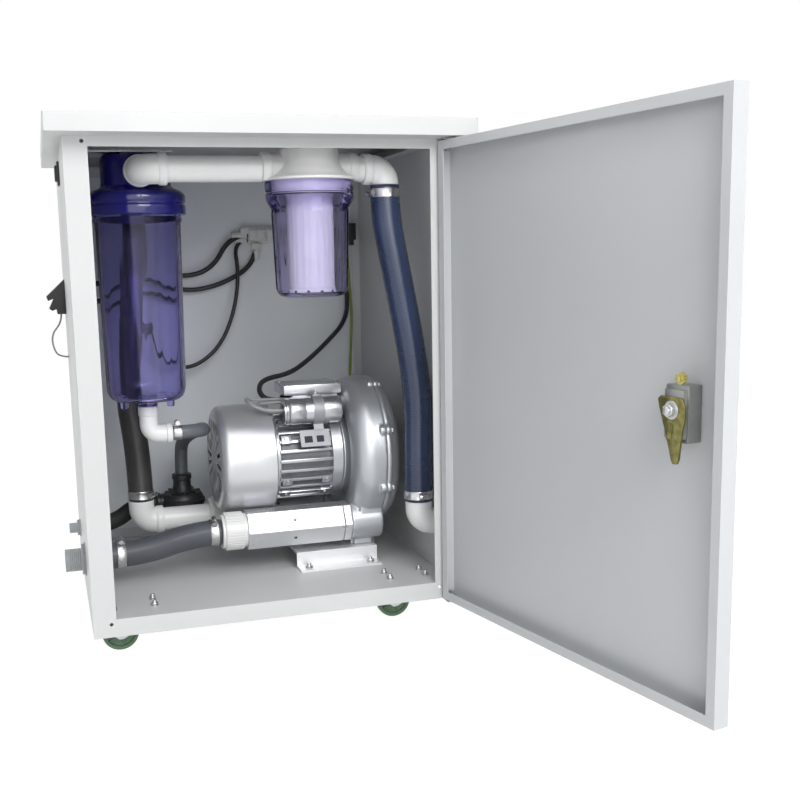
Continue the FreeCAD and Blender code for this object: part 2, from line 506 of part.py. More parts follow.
# Casters: a plate and race under the floor, a swivelling fork, an axle and a polyurethane wheel
PLATE_TOP = "(bottom_rail - sheet_wall)"
RACE_LOW = "(" + PLATE_TOP + " - caster_plate_thickness - caster_race_height)"
CROWN_LOW = "(" + RACE_LOW + " - fork_gap - fork_sheet)"
WHEEL_CENTRE = "(" + CROWN_LOW + " - wheel_top_gap - wheel_radius)"
FORK_INSIDE = "(wheel_width + 2 * wheel_side_gap)"
plates = []
for name, (across, along) in CASTER_CENTRES.items():
    plate = block("CasterPlate", (across + " - caster_plate_length / 2",
                                  along + " - caster_plate_width / 2",
                                  PLATE_TOP + " - caster_plate_thickness"),
                  ("caster_plate_length", "caster_plate_width", "caster_plate_thickness"))
    race = rod("CasterRace", (across, along, RACE_LOW), UP, "caster_race_radius",
               "caster_race_height")
    hole = rod("CasterStemHole", (across, along, RACE_LOW), UP, "stem_radius + axle_clearance",
               "caster_race_height + caster_plate_thickness / 2")
    holes = [hole]
    for side, end in BOLT_CORNERS:
        holes.append(rod("CasterPlateHole", ("%s %s caster_bolt_span / 2" % (across, side),
                                             "%s %s caster_bolt_pitch / 2" % (along, end),
                                             PLATE_TOP + " - caster_plate_thickness"), UP,
                         "caster_bolt_radius + bolt_hole_clearance", "caster_plate_thickness"))
    plates.append(carve("CasterPlateCut", join("CasterPlateSolid", [plate, race]), holes))

    # The fork's own frame has the swivel axis at the origin and the floor's underside at z = 0
    fork = new_body("Fork_" + name)
    sketch = new_sketch(fork, "XZ_Plane")
    add_outline(sketch, [
        ("fork_crown_radius", CROWN_LOW + " + fork_sheet - bottom_rail"),
        ("-fork_crown_radius - 2", CROWN_LOW + " + fork_sheet - bottom_rail"),
        ("-caster_trail - 8", WHEEL_CENTRE + " + 4 - bottom_rail"),
        ("-caster_trail - 6", WHEEL_CENTRE + " - 6 - bottom_rail"),
        ("-caster_trail + 6", WHEEL_CENTRE + " - 6 - bottom_rail"),
        ("fork_crown_radius - 3", CROWN_LOW + " - 4 - bottom_rail")])
    pad(fork, sketch, FORK_INSIDE + " + 2 * fork_sheet", middle=True)
    sketch = new_sketch(fork, "YZ_Plane")
    add_rectangle(sketch, "-" + FORK_INSIDE + " / 2", "-2 * wheel_radius - bottom_rail",
                  FORK_INSIDE + " / 2", CROWN_LOW + " - bottom_rail")
    pocket(fork, sketch, "4 * wheel_radius", middle=True)
    sketch = new_sketch(fork, "XZ_Plane")
    add_circle(sketch, "-caster_trail", WHEEL_CENTRE + " - bottom_rail",
               "caster_axle_radius + axle_clearance")
    pocket(fork, sketch, "4 * wheel_width", middle=True)
    sketch = new_sketch(fork, "XY_Plane", CROWN_LOW + " + fork_sheet - bottom_rail")
    add_circle(sketch, "0", "0", "stem_radius")
    pad(fork, sketch, "fork_gap + caster_race_height")
    place = Vector(S.caster_inset if "left" in name else S.carcass_width - S.caster_inset,
                   S.caster_inset if "front" in name else S.carcass_depth - S.caster_inset, FLOOR)

    half_axle = FORK_INSIDE + " / 2 + fork_sheet"
    pin = rod("CasterAxle", ("-caster_trail", "-(" + half_axle + ")",
                             WHEEL_CENTRE + " - bottom_rail"), BACK, "caster_axle_radius",
              "2 * (" + half_axle + ")")
    heads = [rod("CasterAxleHead", ("-caster_trail", start, WHEEL_CENTRE + " - bottom_rail"), BACK,
                 "axle_head_radius", "axle_head_height")
             for start in ("-(" + half_axle + ") - axle_head_height", half_axle)]
    axle = join("CasterAxle_" + name, [pin] + heads)
    finish(group("caster_fork_" + name, [fork, axle]), "caster_fork_" + name, place)

    wheel = new_body("Wheel_" + name)
    revolve(wheel, [("caster_axle_radius + axle_clearance", "-wheel_width / 2"),
                    ("wheel_radius * 0.36", "-wheel_width / 2"),
                    ("wheel_radius * 0.36", "-wheel_width / 2 + 2"),
                    ("wheel_radius * 0.68", "-wheel_width / 2 + 2"),
                    ("wheel_radius * 0.68", "-wheel_width / 2 + 1"),
                    ("wheel_radius - 2", "-wheel_width / 2 + 1"),
                    ("wheel_radius", "-wheel_width / 2 + 4"),
                    ("wheel_radius", "wheel_width / 2 - 4"),
                    ("wheel_radius - 2", "wheel_width / 2 - 1"),
                    ("wheel_radius * 0.68", "wheel_width / 2 - 1"),
                    ("wheel_radius * 0.68", "wheel_width / 2 - 2"),
                    ("wheel_radius * 0.36", "wheel_width / 2 - 2"),
                    ("wheel_radius * 0.36", "wheel_width / 2"),
                    ("caster_axle_radius + axle_clearance", "wheel_width / 2")])
    wheel_low = (S.bottom_rail - S.sheet_wall - S.caster_plate_thickness - S.caster_race_height
                 - S.fork_gap - S.fork_sheet - S.wheel_top_gap - S.wheel_radius)
    finish(wheel, "caster_wheel_" + name, Vector(place.x - S.caster_trail, place.y, wheel_low),
           Rotation(RIGHT, 90))
group("caster_plates", plates)
bolts = []
for across, along in caster_bolt_places:
    shank = rod("CasterBolt", (across, along, PLATE_TOP + " - caster_plate_thickness - 2"), UP,
                "caster_bolt_radius", "sheet_wall + caster_plate_thickness + 8")
    head = rod("CasterBoltHead", (across, along, PLATE_TOP + " - caster_plate_thickness - 2"), UP,
               "2 * caster_bolt_radius - 0.6", "2")
    nut = rod("CasterNut", (across, along, "bottom_rail"), UP, "2 * caster_bolt_radius - 0.6", "3")
    bolts.append(join("CasterBoltSet", [shank, head, nut]))

# Big separator housing: head with front and rear ports, a ribbed clear bowl and its seal ring.
# Its own frame has the axis at the origin and z = 0 at the lower edge of the head's ring
SEPARATOR = Vector(S.separator_from_left, S.separator_from_front, S.separator_ring_height)
head = new_body("SeparatorHead")
revolve(head, [("0", "housing_thread_depth"), ("separator_bowl_top - seal_width", "housing_thread_depth"),
               ("separator_bowl_top + thread_gap", "housing_thread_depth"),
               ("separator_bowl_top + thread_gap", "0"), ("separator_ring_radius - 2", "0"),
               ("separator_ring_radius", "2"), ("separator_ring_radius", "separator_skirt - 8"),
               ("separator_ring_radius - 5", "separator_skirt"),
               ("separator_dome_radius + 3", "separator_skirt + 3"),
               ("separator_dome_radius", "separator_skirt + 8"),
               ("separator_dome_radius", "separator_head_height - 6"),
               ("separator_dome_radius - 6", "separator_head_height"),
               ("0", "separator_head_height")])
sketch = new_sketch(head, "XZ_Plane")
add_circle(sketch, "0", "port_height", "port_boss_radius")
pad(head, sketch, "2 * separator_port_reach", middle=True)
sketch = new_sketch(head, "XZ_Plane")
add_circle(sketch, "0", "port_height", "port_bore_radius")
pocket(head, sketch, "2 * separator_port_reach", middle=True)
sketch = new_sketch(head, "XY_Plane", "housing_thread_depth")
add_circle(sketch, "0", "0", "port_bore_radius")
pocket(head, sketch, "port_height - housing_thread_depth", reverse=True)
finish(head, "separator_head", SEPARATOR)

bowl = new_body("SeparatorBowl")
BOWL_LOW = "(-separator_bowl_length)"
revolve(bowl, [("0", BOWL_LOW), ("separator_bowl_bottom - 14", BOWL_LOW),
               ("separator_bowl_bottom - 4", BOWL_LOW + " + 4"),
               ("separator_bowl_bottom", BOWL_LOW + " + 14"), ("separator_bowl_top", "-8"),
               ("separator_bowl_top + 2", "-4"), ("separator_bowl_top + 2", "-1"),
               ("separator_bowl_top", "0"),
               ("separator_bowl_top", "housing_thread_depth - seal_height"),
               ("separator_bowl_top - bowl_wall", "housing_thread_depth - seal_height"),
               ("separator_bowl_top - bowl_wall", "-8"),
               ("separator_bowl_bottom - bowl_wall", BOWL_LOW + " + 14"),
               ("separator_bowl_bottom - bowl_wall - 9", BOWL_LOW + " + bowl_wall"),
               ("0", BOWL_LOW + " + bowl_wall")])
sketch = new_sketch(bowl, "XZ_Plane")
add_outline(sketch, [("separator_bowl_bottom - 1", BOWL_LOW + " + 14"),
                     ("separator_bowl_bottom + bowl_rib_height", BOWL_LOW + " + 20"),
                     ("separator_bowl_top + bowl_rib_height", "-10"),
                     ("separator_bowl_top - 1", "-6")])
polar(bowl, pad(bowl, sketch, "bowl_rib_width", middle=True), "bowl_rib_count")
sketch = new_sketch(bowl, "XY_Plane", BOWL_LOW + " + 1")
add_circle(sketch, "0", "0", "drain_boss_radius")
pad(bowl, sketch, "drain_boss_length + 1", reverse=True)
sketch = new_sketch(bowl, "XY_Plane", BOWL_LOW + " + bowl_wall")
add_circle(sketch, "0", "0", "drain_boss_radius / 2")
pocket(bowl, sketch, "drain_boss_length + 2 * bowl_wall")
finish(bowl, "separator_bowl", SEPARATOR)

seal = new_body("SeparatorSeal")
revolve(seal, [("separator_bowl_top - seal_width", "housing_thread_depth - seal_height"),
               ("separator_bowl_top", "housing_thread_depth - seal_height"),
               ("separator_bowl_top", "housing_thread_depth"),
               ("separator_bowl_top - seal_width", "housing_thread_depth")])
finish(seal, "separator_seal", SEPARATOR)

separator_bracket = new_body("SeparatorBracket")
HEAD_TOP = "(separator_ring_height + separator_head_height)"
sketch = new_sketch(separator_bracket, "XZ_Plane", "-separator_from_front")
add_outline(sketch, [("sheet_wall", HEAD_TOP + " + bracket_thickness"),
                     ("sheet_wall", HEAD_TOP + " + bracket_thickness - separator_bracket_leg"),
                     ("sheet_wall + bracket_thickness",
                      HEAD_TOP + " + bracket_thickness - separator_bracket_leg"),
                     ("sheet_wall + bracket_thickness", HEAD_TOP),
                     ("separator_from_left + separator_dome_radius", HEAD_TOP),
                     ("separator_from_left + separator_dome_radius", HEAD_TOP + " + bracket_thickness")])
pad(separator_bracket, sketch, "separator_bracket_width", middle=True)

# Small filter housing: white cap, clear bowl that unscrews, seal ring and pleated cartridge.
# Its own frame has the axis at the origin and z = 0 where the bowl's collar meets the cap
FILTER = Vector(S.filter_from_left, S.filter_from_front, S.filter_ring_height)
cap = new_body("FilterCap")
revolve(cap, [("0", "-4"), ("filter_thread_radius - 8", "-4"),
              ("filter_thread_radius - 8", "-filter_spigot"),
              ("filter_thread_radius - thread_gap", "-filter_spigot"),
              ("filter_thread_radius - thread_gap", "0"), ("filter_cap_radius", "0"),
              ("filter_cap_radius", "3"), ("filter_cap_radius - 5", "5"),
              ("filter_cap_radius - 11", "9"), ("filter_cap_top_radius + 3", "17"),
              ("filter_cap_top_radius", "27"), ("filter_cap_top_radius", "filter_cap_height - 4"),
              ("filter_cap_top_radius - 4", "filter_cap_height"), ("0", "filter_cap_height")])
sketch = new_sketch(cap, "YZ_Plane")
add_circle(sketch, "0", "filter_port_height", "socket_radius - 0.5")
pad(cap, sketch, "2 * filter_port_reach", middle=True)
sketch = new_sketch(cap, "YZ_Plane")
add_circle(sketch, "0", "filter_port_height", "port_bore_radius")
pocket(cap, sketch, "2 * filter_port_reach", middle=True)
sketch = new_sketch(cap, "XY_Plane", "-5")
add_circle(sketch, "0", "0", "filter_thread_radius - thread_gap")
add_circle(sketch, "0", "0", "filter_port_reach + 5")
pocket(cap, sketch, "5", reverse=True)
sketch = new_sketch(cap, "XY_Plane", "-4")
add_circle(sketch, "0", "0", "port_bore_radius")
pocket(cap, sketch, "filter_port_height + 4", reverse=True)
finish(cap, "filter_cap", FILTER)

filter_bowl = new_body("FilterBowl")
F_LOW = "(-filter_bowl_length)"
SEAT = "(-filter_spigot - seal_height)"
revolve(filter_bowl, [("0", F_LOW), ("filter_bowl_bottom - 12", F_LOW),
                      ("filter_bowl_bottom - 3", F_LOW + " + 4"),
                      ("filter_bowl_bottom", F_LOW + " + 12"),
                      ("filter_bowl_top", "-filter_collar_height - 16"),
                      ("filter_bowl_top", "-filter_collar_height - 12"),
                      ("filter_collar_radius - 1", "-filter_collar_height"),
                      ("filter_collar_radius", "-filter_collar_height + 4"),
                      ("filter_collar_radius", "-1"), ("filter_collar_radius - 1", "-thread_gap"),
                      ("filter_thread_radius", "-thread_gap"), ("filter_thread_radius", SEAT),
                      ("filter_thread_radius - seal_width", SEAT),
                      ("filter_bowl_top - bowl_wall", "-filter_collar_height - 16"),
                      ("filter_bowl_bottom - bowl_wall", F_LOW + " + 12"),
                      ("filter_bowl_bottom - bowl_wall - 8", F_LOW + " + bowl_wall"),
                      ("0", F_LOW + " + bowl_wall")])
sketch = new_sketch(filter_bowl, "XZ_Plane")
add_outline(sketch, [("filter_bowl_bottom - 1", F_LOW + " + 16"),
                     ("filter_bowl_bottom + bowl_rib_height", F_LOW + " + 22"),
                     ("filter_bowl_top + bowl_rib_height", "-filter_collar_height - 18"),
                     ("filter_bowl_top - 1", "-filter_collar_height - 14")])
polar(filter_bowl, pad(filter_bowl, sketch, "bowl_rib_width", middle=True), "bowl_rib_count")
finish(filter_bowl, "filter_bowl", FILTER)

filter_seal = new_body("FilterSeal")
revolve(filter_seal, [("filter_thread_radius - seal_width", SEAT),
                      ("filter_thread_radius - thread_gap", SEAT),
                      ("filter_thread_radius - thread_gap", "-filter_spigot"),
                      ("filter_thread_radius - seal_width", "-filter_spigot")])
finish(filter_seal, "filter_seal", FILTER)

cartridge = new_body("FilterCartridge")
C_LOW = "(-filter_bowl_length + bowl_wall)"
C_TOP = "(-filter_bowl_length + bowl_wall + cartridge_length)"
revolve(cartridge, [("cartridge_bore", C_LOW), ("cartridge_radius", C_LOW),
                    ("cartridge_radius", C_LOW + " + 6"), ("cartridge_radius - 1.5", C_LOW + " + 7"),
                    ("cartridge_radius - 1.5", C_TOP + " - 7"), ("cartridge_radius", C_TOP + " - 6"),
                    ("cartridge_radius", C_TOP), ("cartridge_bore", C_TOP)])
sketch = new_sketch(cartridge, "YZ_Plane")
add_rectangle(sketch, "-1.6", C_LOW + " + 1.5", "1.6", C_LOW + " + 4.5")
slot = pocket(cartridge, sketch, "cartridge_radius + 1", reverse=True)
polar(cartridge, slot, "cartridge_slot_count")
finish(cartridge, "filter_cartridge", FILTER)

filter_bracket = new_body("FilterBracket")
CAP_TOP = "(filter_ring_height + filter_cap_height)"
sketch = new_sketch(filter_bracket, "YZ_Plane", "filter_from_left")
add_outline(sketch, [("sheet_wall", "carcass_height - top_rail + 1"),
                     ("sheet_wall + bracket_thickness", "carcass_height - top_rail + 1"),
                     ("sheet_wall + bracket_thickness", CAP_TOP),
                     ("filter_from_front + filter_cap_top_radius", CAP_TOP),
                     ("filter_from_front + filter_cap_top_radius", CAP_TOP + " + bracket_thickness"),
                     ("sheet_wall", CAP_TOP + " + bracket_thickness")])
pad(filter_bracket, sketch, "filter_bracket_width", middle=True)
group("housing_brackets", [separator_bracket, filter_bracket])


# Pipes and hoses: a route is straight runs joined by tangent arcs
def route(points):
    """The wire through the points, and its bend radii."""
    points = [Vector(*point) for point in points]
    edges, radii = [], []
    start = points[0]
    for before, corner, after in zip(points, points[1:], points[2:]):
        to_back, to_next = (before - corner), (after - corner)
        turn = math.pi - to_back.getAngle(to_next)
        reach = 0.45 * min(to_back.Length, to_next.Length)
        radius = reach / math.tan(turn / 2)
        radii.append(radius)
        enter = corner + to_back.normalize() * reach
        leave = corner + to_next.normalize() * reach
        bisector = (to_back + to_next).normalize()
        centre = corner + bisector * math.hypot(radius, reach)
        middle = centre - bisector * radius
        edges.append(Part.LineSegment(start, enter).toShape())
        edges.append(Part.Arc(enter, middle, leave).toShape())
        start = leave
    edges.append(Part.LineSegment(start, points[-1]).toShape())
    return Part.Wire(edges), radii


def swept(points, radius):
    """A solid rod along the route."""
    wire, radii = route(points)
    start = wire.Edges[0].valueAt(wire.Edges[0].FirstParameter)
    along = wire.Edges[0].tangentAt(wire.Edges[0].FirstParameter)
    section = Part.Wire([Part.makeCircle(radius, start, along)])
    return wire.makePipeShell([section], True, True), wire.Length, radii


def tube(name, points, outer, inner):
    """A hollow hose along the route, with its bends and volume printed."""
    outside, length, radii = swept(points, outer)
    shape = outside
    expected = math.pi * outer ** 2 * length
    if inner > 0:
        inside, _, _ = swept(points, inner)
        shape = outside.cut(inside)
        expected -= math.pi * inner ** 2 * length
    print("%-22s length %6.1f  radii %s  volume ratio %.4f" % (
        name, length, " ".join("%.0f" % r for r in radii), shape.Volume / expected))
    return shape


def elbow(corner, first, second, legs, spigots):
    """A 90 degree solvent-weld elbow: two sockets, the bend, and the spigots in the hoses."""
    bend = S.elbow_bend
    ends = [corner + first * legs[0], corner + second * legs[1]]
    enter, leave = corner + first * bend, corner + second * bend
    middle = corner + (first + second) * (bend * (1 - math.sqrt(0.5)))
    path = Part.Wire([Part.LineSegment(ends[0], enter).toShape(),
                      Part.Arc(enter, middle, leave).toShape(),
                      Part.LineSegment(leave, ends[1]).toShape()])
    bodies = []
    for radius in (S.socket_radius - 1.5, S.pipe_radius - S.pipe_wall):
        section = Part.Wire([Part.makeCircle(radius, ends[0], first)])
        bodies.append(path.makePipeShell([section], True, True))
    outside, inside = bodies
    for end, direction, leg, spigot in zip(ends, (first, second), legs, spigots):
        if spigot > 0:
            outside = outside.fuse(Part.makeCylinder(spigot, S.spigot_length, end, direction))
            inside = inside.fuse(Part.makeCylinder(S.pipe_radius - S.pipe_wall - 1,
                                                   S.spigot_length, end, direction))
        elif leg > bend + 2:
            socket = Part.makeCylinder(S.socket_radius, leg - bend, end, direction * -1)
            outside = outside.fuse(socket)
    return outside.cut(inside).removeSplitter()


def hollow(start, end, outer, inner):
    """A straight pipe between two points."""
    along = end - start
    pipe = Part.makeCylinder(outer, along.Length, start, along)
    return pipe.cut(Part.makeCylinder(inner, along.Length, start, along))


SPIGOT_GAP = 0.05
SUCTION_BORE = S.suction_hose_radius - S.hose_wall
RETURN_BORE = S.return_hose_radius - S.hose_wall
EXHAUST_BORE = S.exhaust_hose_radius - S.hose_wall
PIPE_BORE = S.pipe_radius - S.pipe_wall
AIR_HEIGHT = S.filter_ring_height + S.filter_port_height
SILENCER_HEIGHT = S.blower_axis_height - S.port_drop
FRONT_PORT = S.blower_from_front - S.port_spread
REAR_PORT = S.blower_from_front + S.port_spread
SILENCER_LEFT = S.casing_from_left - S.silencer_length
COUPLING_LEFT = SILENCER_LEFT - S.coupling_length
RIGHT_WALL = S.carcass_width - S.sheet_wall
LONG, SHORT = S.elbow_leg, S.elbow_short_leg
port_reach = S.separator_port_reach + LONG
head_front = Vector(S.separator_from_left, S.separator_from_front - port_reach, AIR_HEIGHT)
head_back = Vector(S.separator_from_left, S.separator_from_front + port_reach, AIR_HEIGHT)
filter_right = Vector(S.filter_from_left + S.filter_port_reach + LONG + 8, S.filter_from_front,
                      AIR_HEIGHT)
suction_low = Vector(S.suction_port_from_left, S.filter_from_front, S.suction_port_height)
riser_low = Vector(S.separator_from_left - 8, REAR_PORT, SILENCER_HEIGHT)
right_leg = RIGHT_WALL - S.suction_port_from_left
coded("pvc_elbows", Part.makeCompound([
    elbow(head_front, BACK, RIGHT, (LONG, LONG), (0, 0)),
    elbow(head_back, FRONT, DOWN, (LONG, SHORT), (0, RETURN_BORE - SPIGOT_GAP)),
    elbow(filter_right, LEFT, DOWN, (LONG, SHORT), (0, SUCTION_BORE - SPIGOT_GAP)),
    elbow(suction_low, UP, RIGHT, (LONG, right_leg), (SUCTION_BORE - SPIGOT_GAP, 0)),
    elbow(riser_low, UP, RIGHT, (LONG, LONG), (RETURN_BORE - SPIGOT_GAP, 0))]))
cross_pipe = hollow(head_front + RIGHT * LONG,
                    Vector(S.filter_from_left - S.filter_port_reach, head_front.y, AIR_HEIGHT),
                    S.pipe_radius, PIPE_BORE)
filter_nipple = hollow(filter_right + LEFT * (LONG + 8), filter_right + LEFT * LONG,
                       S.pipe_radius, PIPE_BORE)
inlet_pipe = hollow(riser_low + RIGHT * LONG, Vector(COUPLING_LEFT, REAR_PORT, SILENCER_HEIGHT),
                    S.pipe_radius, PIPE_BORE)
coded("pvc_pipes", Part.makeCompound([cross_pipe, filter_nipple, inlet_pipe]))

# Suction port: a threaded nipple through the right wall with its flange nut outside
port_start = Vector(RIGHT_WALL, S.filter_from_front, S.suction_port_height)
port_out = Vector(S.carcass_width, S.filter_from_front, S.suction_port_height)
nipple = Part.makeCylinder(S.pipe_radius - 0.1, S.stub_reach + S.sheet_wall, port_start, RIGHT)
nipple = nipple.fuse(Part.makeCylinder(S.wall_nut_radius, S.wall_nut_thickness, port_out, RIGHT))
coded("suction_port", nipple.cut(Part.makeCylinder(PIPE_BORE - 1, 2 * S.stub_reach, port_start, RIGHT)))


def wall_stub(y, z, bore_radius, outer_radius, reach, inside_reach, nut_radius):
    """A hose nipple through the left wall, clamped between two nuts."""
    start = Vector(-reach, y, z)
    shape = Part.makeCylinder(outer_radius, reach + inside_reach, start, RIGHT)
    for left in (-S.wall_nut_thickness, S.sheet_wall):
        shape = shape.fuse(Part.makeCylinder(nut_radius, S.wall_nut_thickness, Vector(left, y, z),
                                             RIGHT))
    return shape.cut(Part.makeCylinder(bore_radius, 3 * reach + inside_reach, start, RIGHT))


HOSE_START = S.sheet_wall + S.wall_nut_thickness
coded("exhaust_stub", wall_stub(FRONT_PORT, S.exhaust_stub_height, EXHAUST_BORE - 2.5,
                                EXHAUST_BORE - SPIGOT_GAP, S.stub_reach, HOSE_START + 22,
                                S.wall_nut_radius))
coded("drain_stub", wall_stub(S.drain_stub_from_front, S.drain_stub_height,
                              S.drain_stub_radius - 2.5, S.drain_stub_radius - 0.1,
                              S.drain_stub_reach, HOSE_START + 14, S.drain_stub_radius + 5))



def slung(start, steps, end):
    """A route between two ends; each step is a share of the way and an offset from there."""
    return [tuple(start)] + [tuple(start + (end - start) * share + Vector(*offset))
                             for share, *offset in steps] + [tuple(end)]


# Flexible hoses
hose_paths = {
    "suction_hose": (S.suction_hose_radius, slung(filter_right + DOWN * SHORT, [
        (0, 0, 0, -36), (0.206, 0.8, 0, 0), (0.426, 10, 0, 0), (0.656, 15.8, 0, 0), (1, 0, 0, 67)],
        suction_low + UP * LONG)),
    "return_hose": (S.return_hose_radius, slung(head_back + DOWN * SHORT, [
        (0, 0, 0, -96), (0.614, -15.6, 1.6, 0), (1, 0, 0, 64)], riser_low + UP * LONG)),
    "exhaust_hose": (S.exhaust_hose_radius, slung(Vector(COUPLING_LEFT, FRONT_PORT, SILENCER_HEIGHT), [
        (0, -40, 0, 0), (1, 63.8, 0, 0)], Vector(HOSE_START, FRONT_PORT, S.exhaust_stub_height))),
}
for name, (radius, points) in hose_paths.items():
    coded(name, tube(name, points, radius, radius - S.hose_wall))

# Drain line: an elbow under the bowl, a small hose behind the motor, a flap valve and its outlet
BOWL_FOOT = S.separator_ring_height - S.separator_bowl_length - S.drain_boss_length
drain_corner = Vector(S.separator_from_left, S.separator_from_front, BOWL_FOOT - 38)
DRAIN_BORE = S.drain_hose_radius - 2
path_points = [tuple(drain_corner + UP * 38), tuple(drain_corner), tuple(drain_corner + RIGHT * 30)]
drain_body, _, _ = swept(path_points, S.drain_pipe_radius)
drain_bore, _, _ = swept(path_points, DRAIN_BORE - 2)
drain_end = drain_corner + RIGHT * 30
drain_spigot = Part.makeCylinder(DRAIN_BORE - SPIGOT_GAP, 14, drain_end, RIGHT)
drain_spigot = drain_spigot.cut(Part.makeCylinder(DRAIN_BORE - 2, 14, drain_end, RIGHT))
coded("drain_elbow", drain_body.cut(drain_bore).fuse(drain_spigot).removeSplitter())
VALVE = Vector(S.drain_valve_from_left, S.drain_valve_from_front, S.drain_valve_bottom)
VALVE_TOP = S.drain_valve_bottom + S.drain_valve_height + 28
beside_cowl = S.casing_from_left - 3 - S.stator_length - S.cowl_length - 12
valve_inlet = Vector(VALVE.x, VALVE.y, VALVE_TOP)
coded("drain_hose", tube("drain_hose", slung(drain_end, [
    (0, (beside_cowl - drain_end.x) / 2, 0, 0), (0, beside_cowl - drain_end.x, 24, -2),
    (0, beside_cowl - 3 - drain_end.x, 82, -10), (1, 2, -13, 54), (1, 0, 0, 28)], valve_inlet),
    S.drain_hose_radius, DRAIN_BORE))

valve = new_body("DrainValve")
revolve(valve, [("0", "0"), ("drain_valve_radius - 5", "0"), ("drain_valve_radius", "3"),
                ("drain_valve_radius", "drain_valve_height - 7"),
                ("drain_valve_radius - 6", "drain_valve_height"),
                ("drain_pipe_radius + 4", "drain_valve_height + 2"),
                ("drain_pipe_radius + 1", "drain_valve_height + 12"),
                ("drain_pipe_radius + 1", "drain_valve_height + 28"), ("0", "drain_valve_height + 28")])
sketch = new_sketch(valve, "YZ_Plane")
add_circle(sketch, "0", "drain_valve_height / 2", "drain_outlet_radius")
pad(valve, sketch, "drain_valve_radius + 6", reverse=True)
finish(valve, "drain_valve", VALVE)
outlet_start = VALVE + Vector(-S.drain_valve_radius - 6, 0, S.drain_valve_height / 2)
coded("drain_outlet_elbow", tube("drain_outlet_elbow", [
    tuple(outlet_start), (82, VALVE.y, outlet_start.z), (46, VALVE.y, S.drain_stub_height),
    (HOSE_START, VALVE.y, S.drain_stub_height)], S.drain_outlet_radius, S.drain_stub_radius))


# Hose clamps: a steel band round the hose and its tangential screw
def clamp(centre, along, across, hose_radius):
    """A band about `along` at `centre`; the screw lies beside it towards `across`."""
    start = centre - along * (S.clamp_width / 2)
    band = Part.makeCylinder(hose_radius + S.clamp_band, S.clamp_width, start, along)
    band = band.cut(Part.makeCylinder(hose_radius, S.clamp_width, start, along))
    sideways = along.cross(across)
    screw_centre = centre + across * (hose_radius + S.clamp_band + S.clamp_screw_radius - 0.6)
    screw = Part.makeCylinder(S.clamp_screw_radius, S.clamp_screw_length,
                              screw_centre - sideways * (S.clamp_screw_length / 2), sideways)
    return band.fuse(screw)


coded("hose_clamps", Part.makeCompound([
    clamp(filter_right + DOWN * (SHORT + 10), UP, FRONT, S.suction_hose_radius),
    clamp(suction_low + UP * (LONG + 9), UP, FRONT, S.suction_hose_radius),
    clamp(head_back + DOWN * (SHORT + 10), UP, LEFT, S.return_hose_radius),
    clamp(riser_low + UP * (LONG + 9), UP, FRONT, S.return_hose_radius),
    clamp(Vector(COUPLING_LEFT - 10, FRONT_PORT, SILENCER_HEIGHT), RIGHT, FRONT,
          S.exhaust_hose_radius),
    clamp(Vector(HOSE_START + 12, FRONT_PORT, S.exhaust_stub_height), RIGHT, FRONT,
          S.exhaust_hose_radius),
    clamp(drain_end + RIGHT * 7, RIGHT, FRONT, S.drain_hose_radius),
    clamp(Vector(HOSE_START + 9, VALVE.y, S.drain_stub_height), RIGHT, FRONT,
          S.drain_outlet_radius)]))

# Side-channel blower. Pieces about its axis are made upright and laid over: their z runs to the
# right from the casing's left face, their x points down and their y to the back
AXIS_BASE = Vector(S.casing_from_left, S.blower_from_front, S.blower_axis_height)
LAID = Rotation(BACK, 90)
POCKET_FLOOR = "(casing_depth - impeller_gap - impeller_depth - impeller_gap)"


def lugs(low, height):
    """Bolting lugs round the rim, none of them in line with the hose in front."""
    pieces = []
    for i in range(int(S.lug_count)):
        angle = 2 * math.pi * (i + 0.5) / S.lug_count
        pieces.append(rod("Lug", ("(casing_radius - 2) * %.5f" % math.cos(angle),
                                  "(casing_radius - 2) * %.5f" % math.sin(angle), low), UP,
                          "lug_radius", height))
    return pieces


ports = [rod("Port", ("port_drop", side + "port_spread", "0"), UP, "port_block_radius",
             "casing_depth") for side in ("-", "")]
foot_block = block("CastFoot", ("channel_centre_radius", "-port_spread", "8"),
                   ("blower_axis_height - foot_top_height - channel_centre_radius",
                    "2 * port_spread", "casing_depth - 16"))
casing_solid = join("CasingSolid", [
    ring("CasingBulge", "casing_bulge", "channel_centre_radius", "casing_bulge"),
    rod("CasingWeb", ("0", "0", "casing_bulge - 12"), UP, "channel_centre_radius",
        "casing_depth - casing_bulge + 12"),
    rod("CasingRim", ("0", "0", "casing_bulge"), UP, "casing_radius", "casing_depth - casing_bulge"),
    rod("CasingNeck", ("0", "0", "-5"), UP, "casing_neck_radius", "casing_bulge"),
    foot_block] + ports + lugs("casing_depth - casing_flange", "casing_flange"))
port_bores = [rod("PortBore", ("port_drop", side + "port_spread", "-1"), UP,
                  "pipe_radius - pipe_wall", "casing_bulge + 8") for side in ("-", "")]
finish(carve("RingCasing", casing_solid, [
    rod("CasingOpenSide", ("0", "0", "casing_depth"), UP, "2 * casing_radius", "casing_depth"),
    rod("ImpellerPocket", ("0", "0", POCKET_FLOOR), UP, "impeller_radius + 1", "casing_depth"),
    ring("CasingChannel", POCKET_FLOOR, "channel_centre_radius", "channel_radius"),
    rod("CasingBore", ("0", "0", "-6"), UP, "shaft_radius + 2", "casing_depth")] + port_bores),
    "ring_casing", AXIS_BASE, LAID)

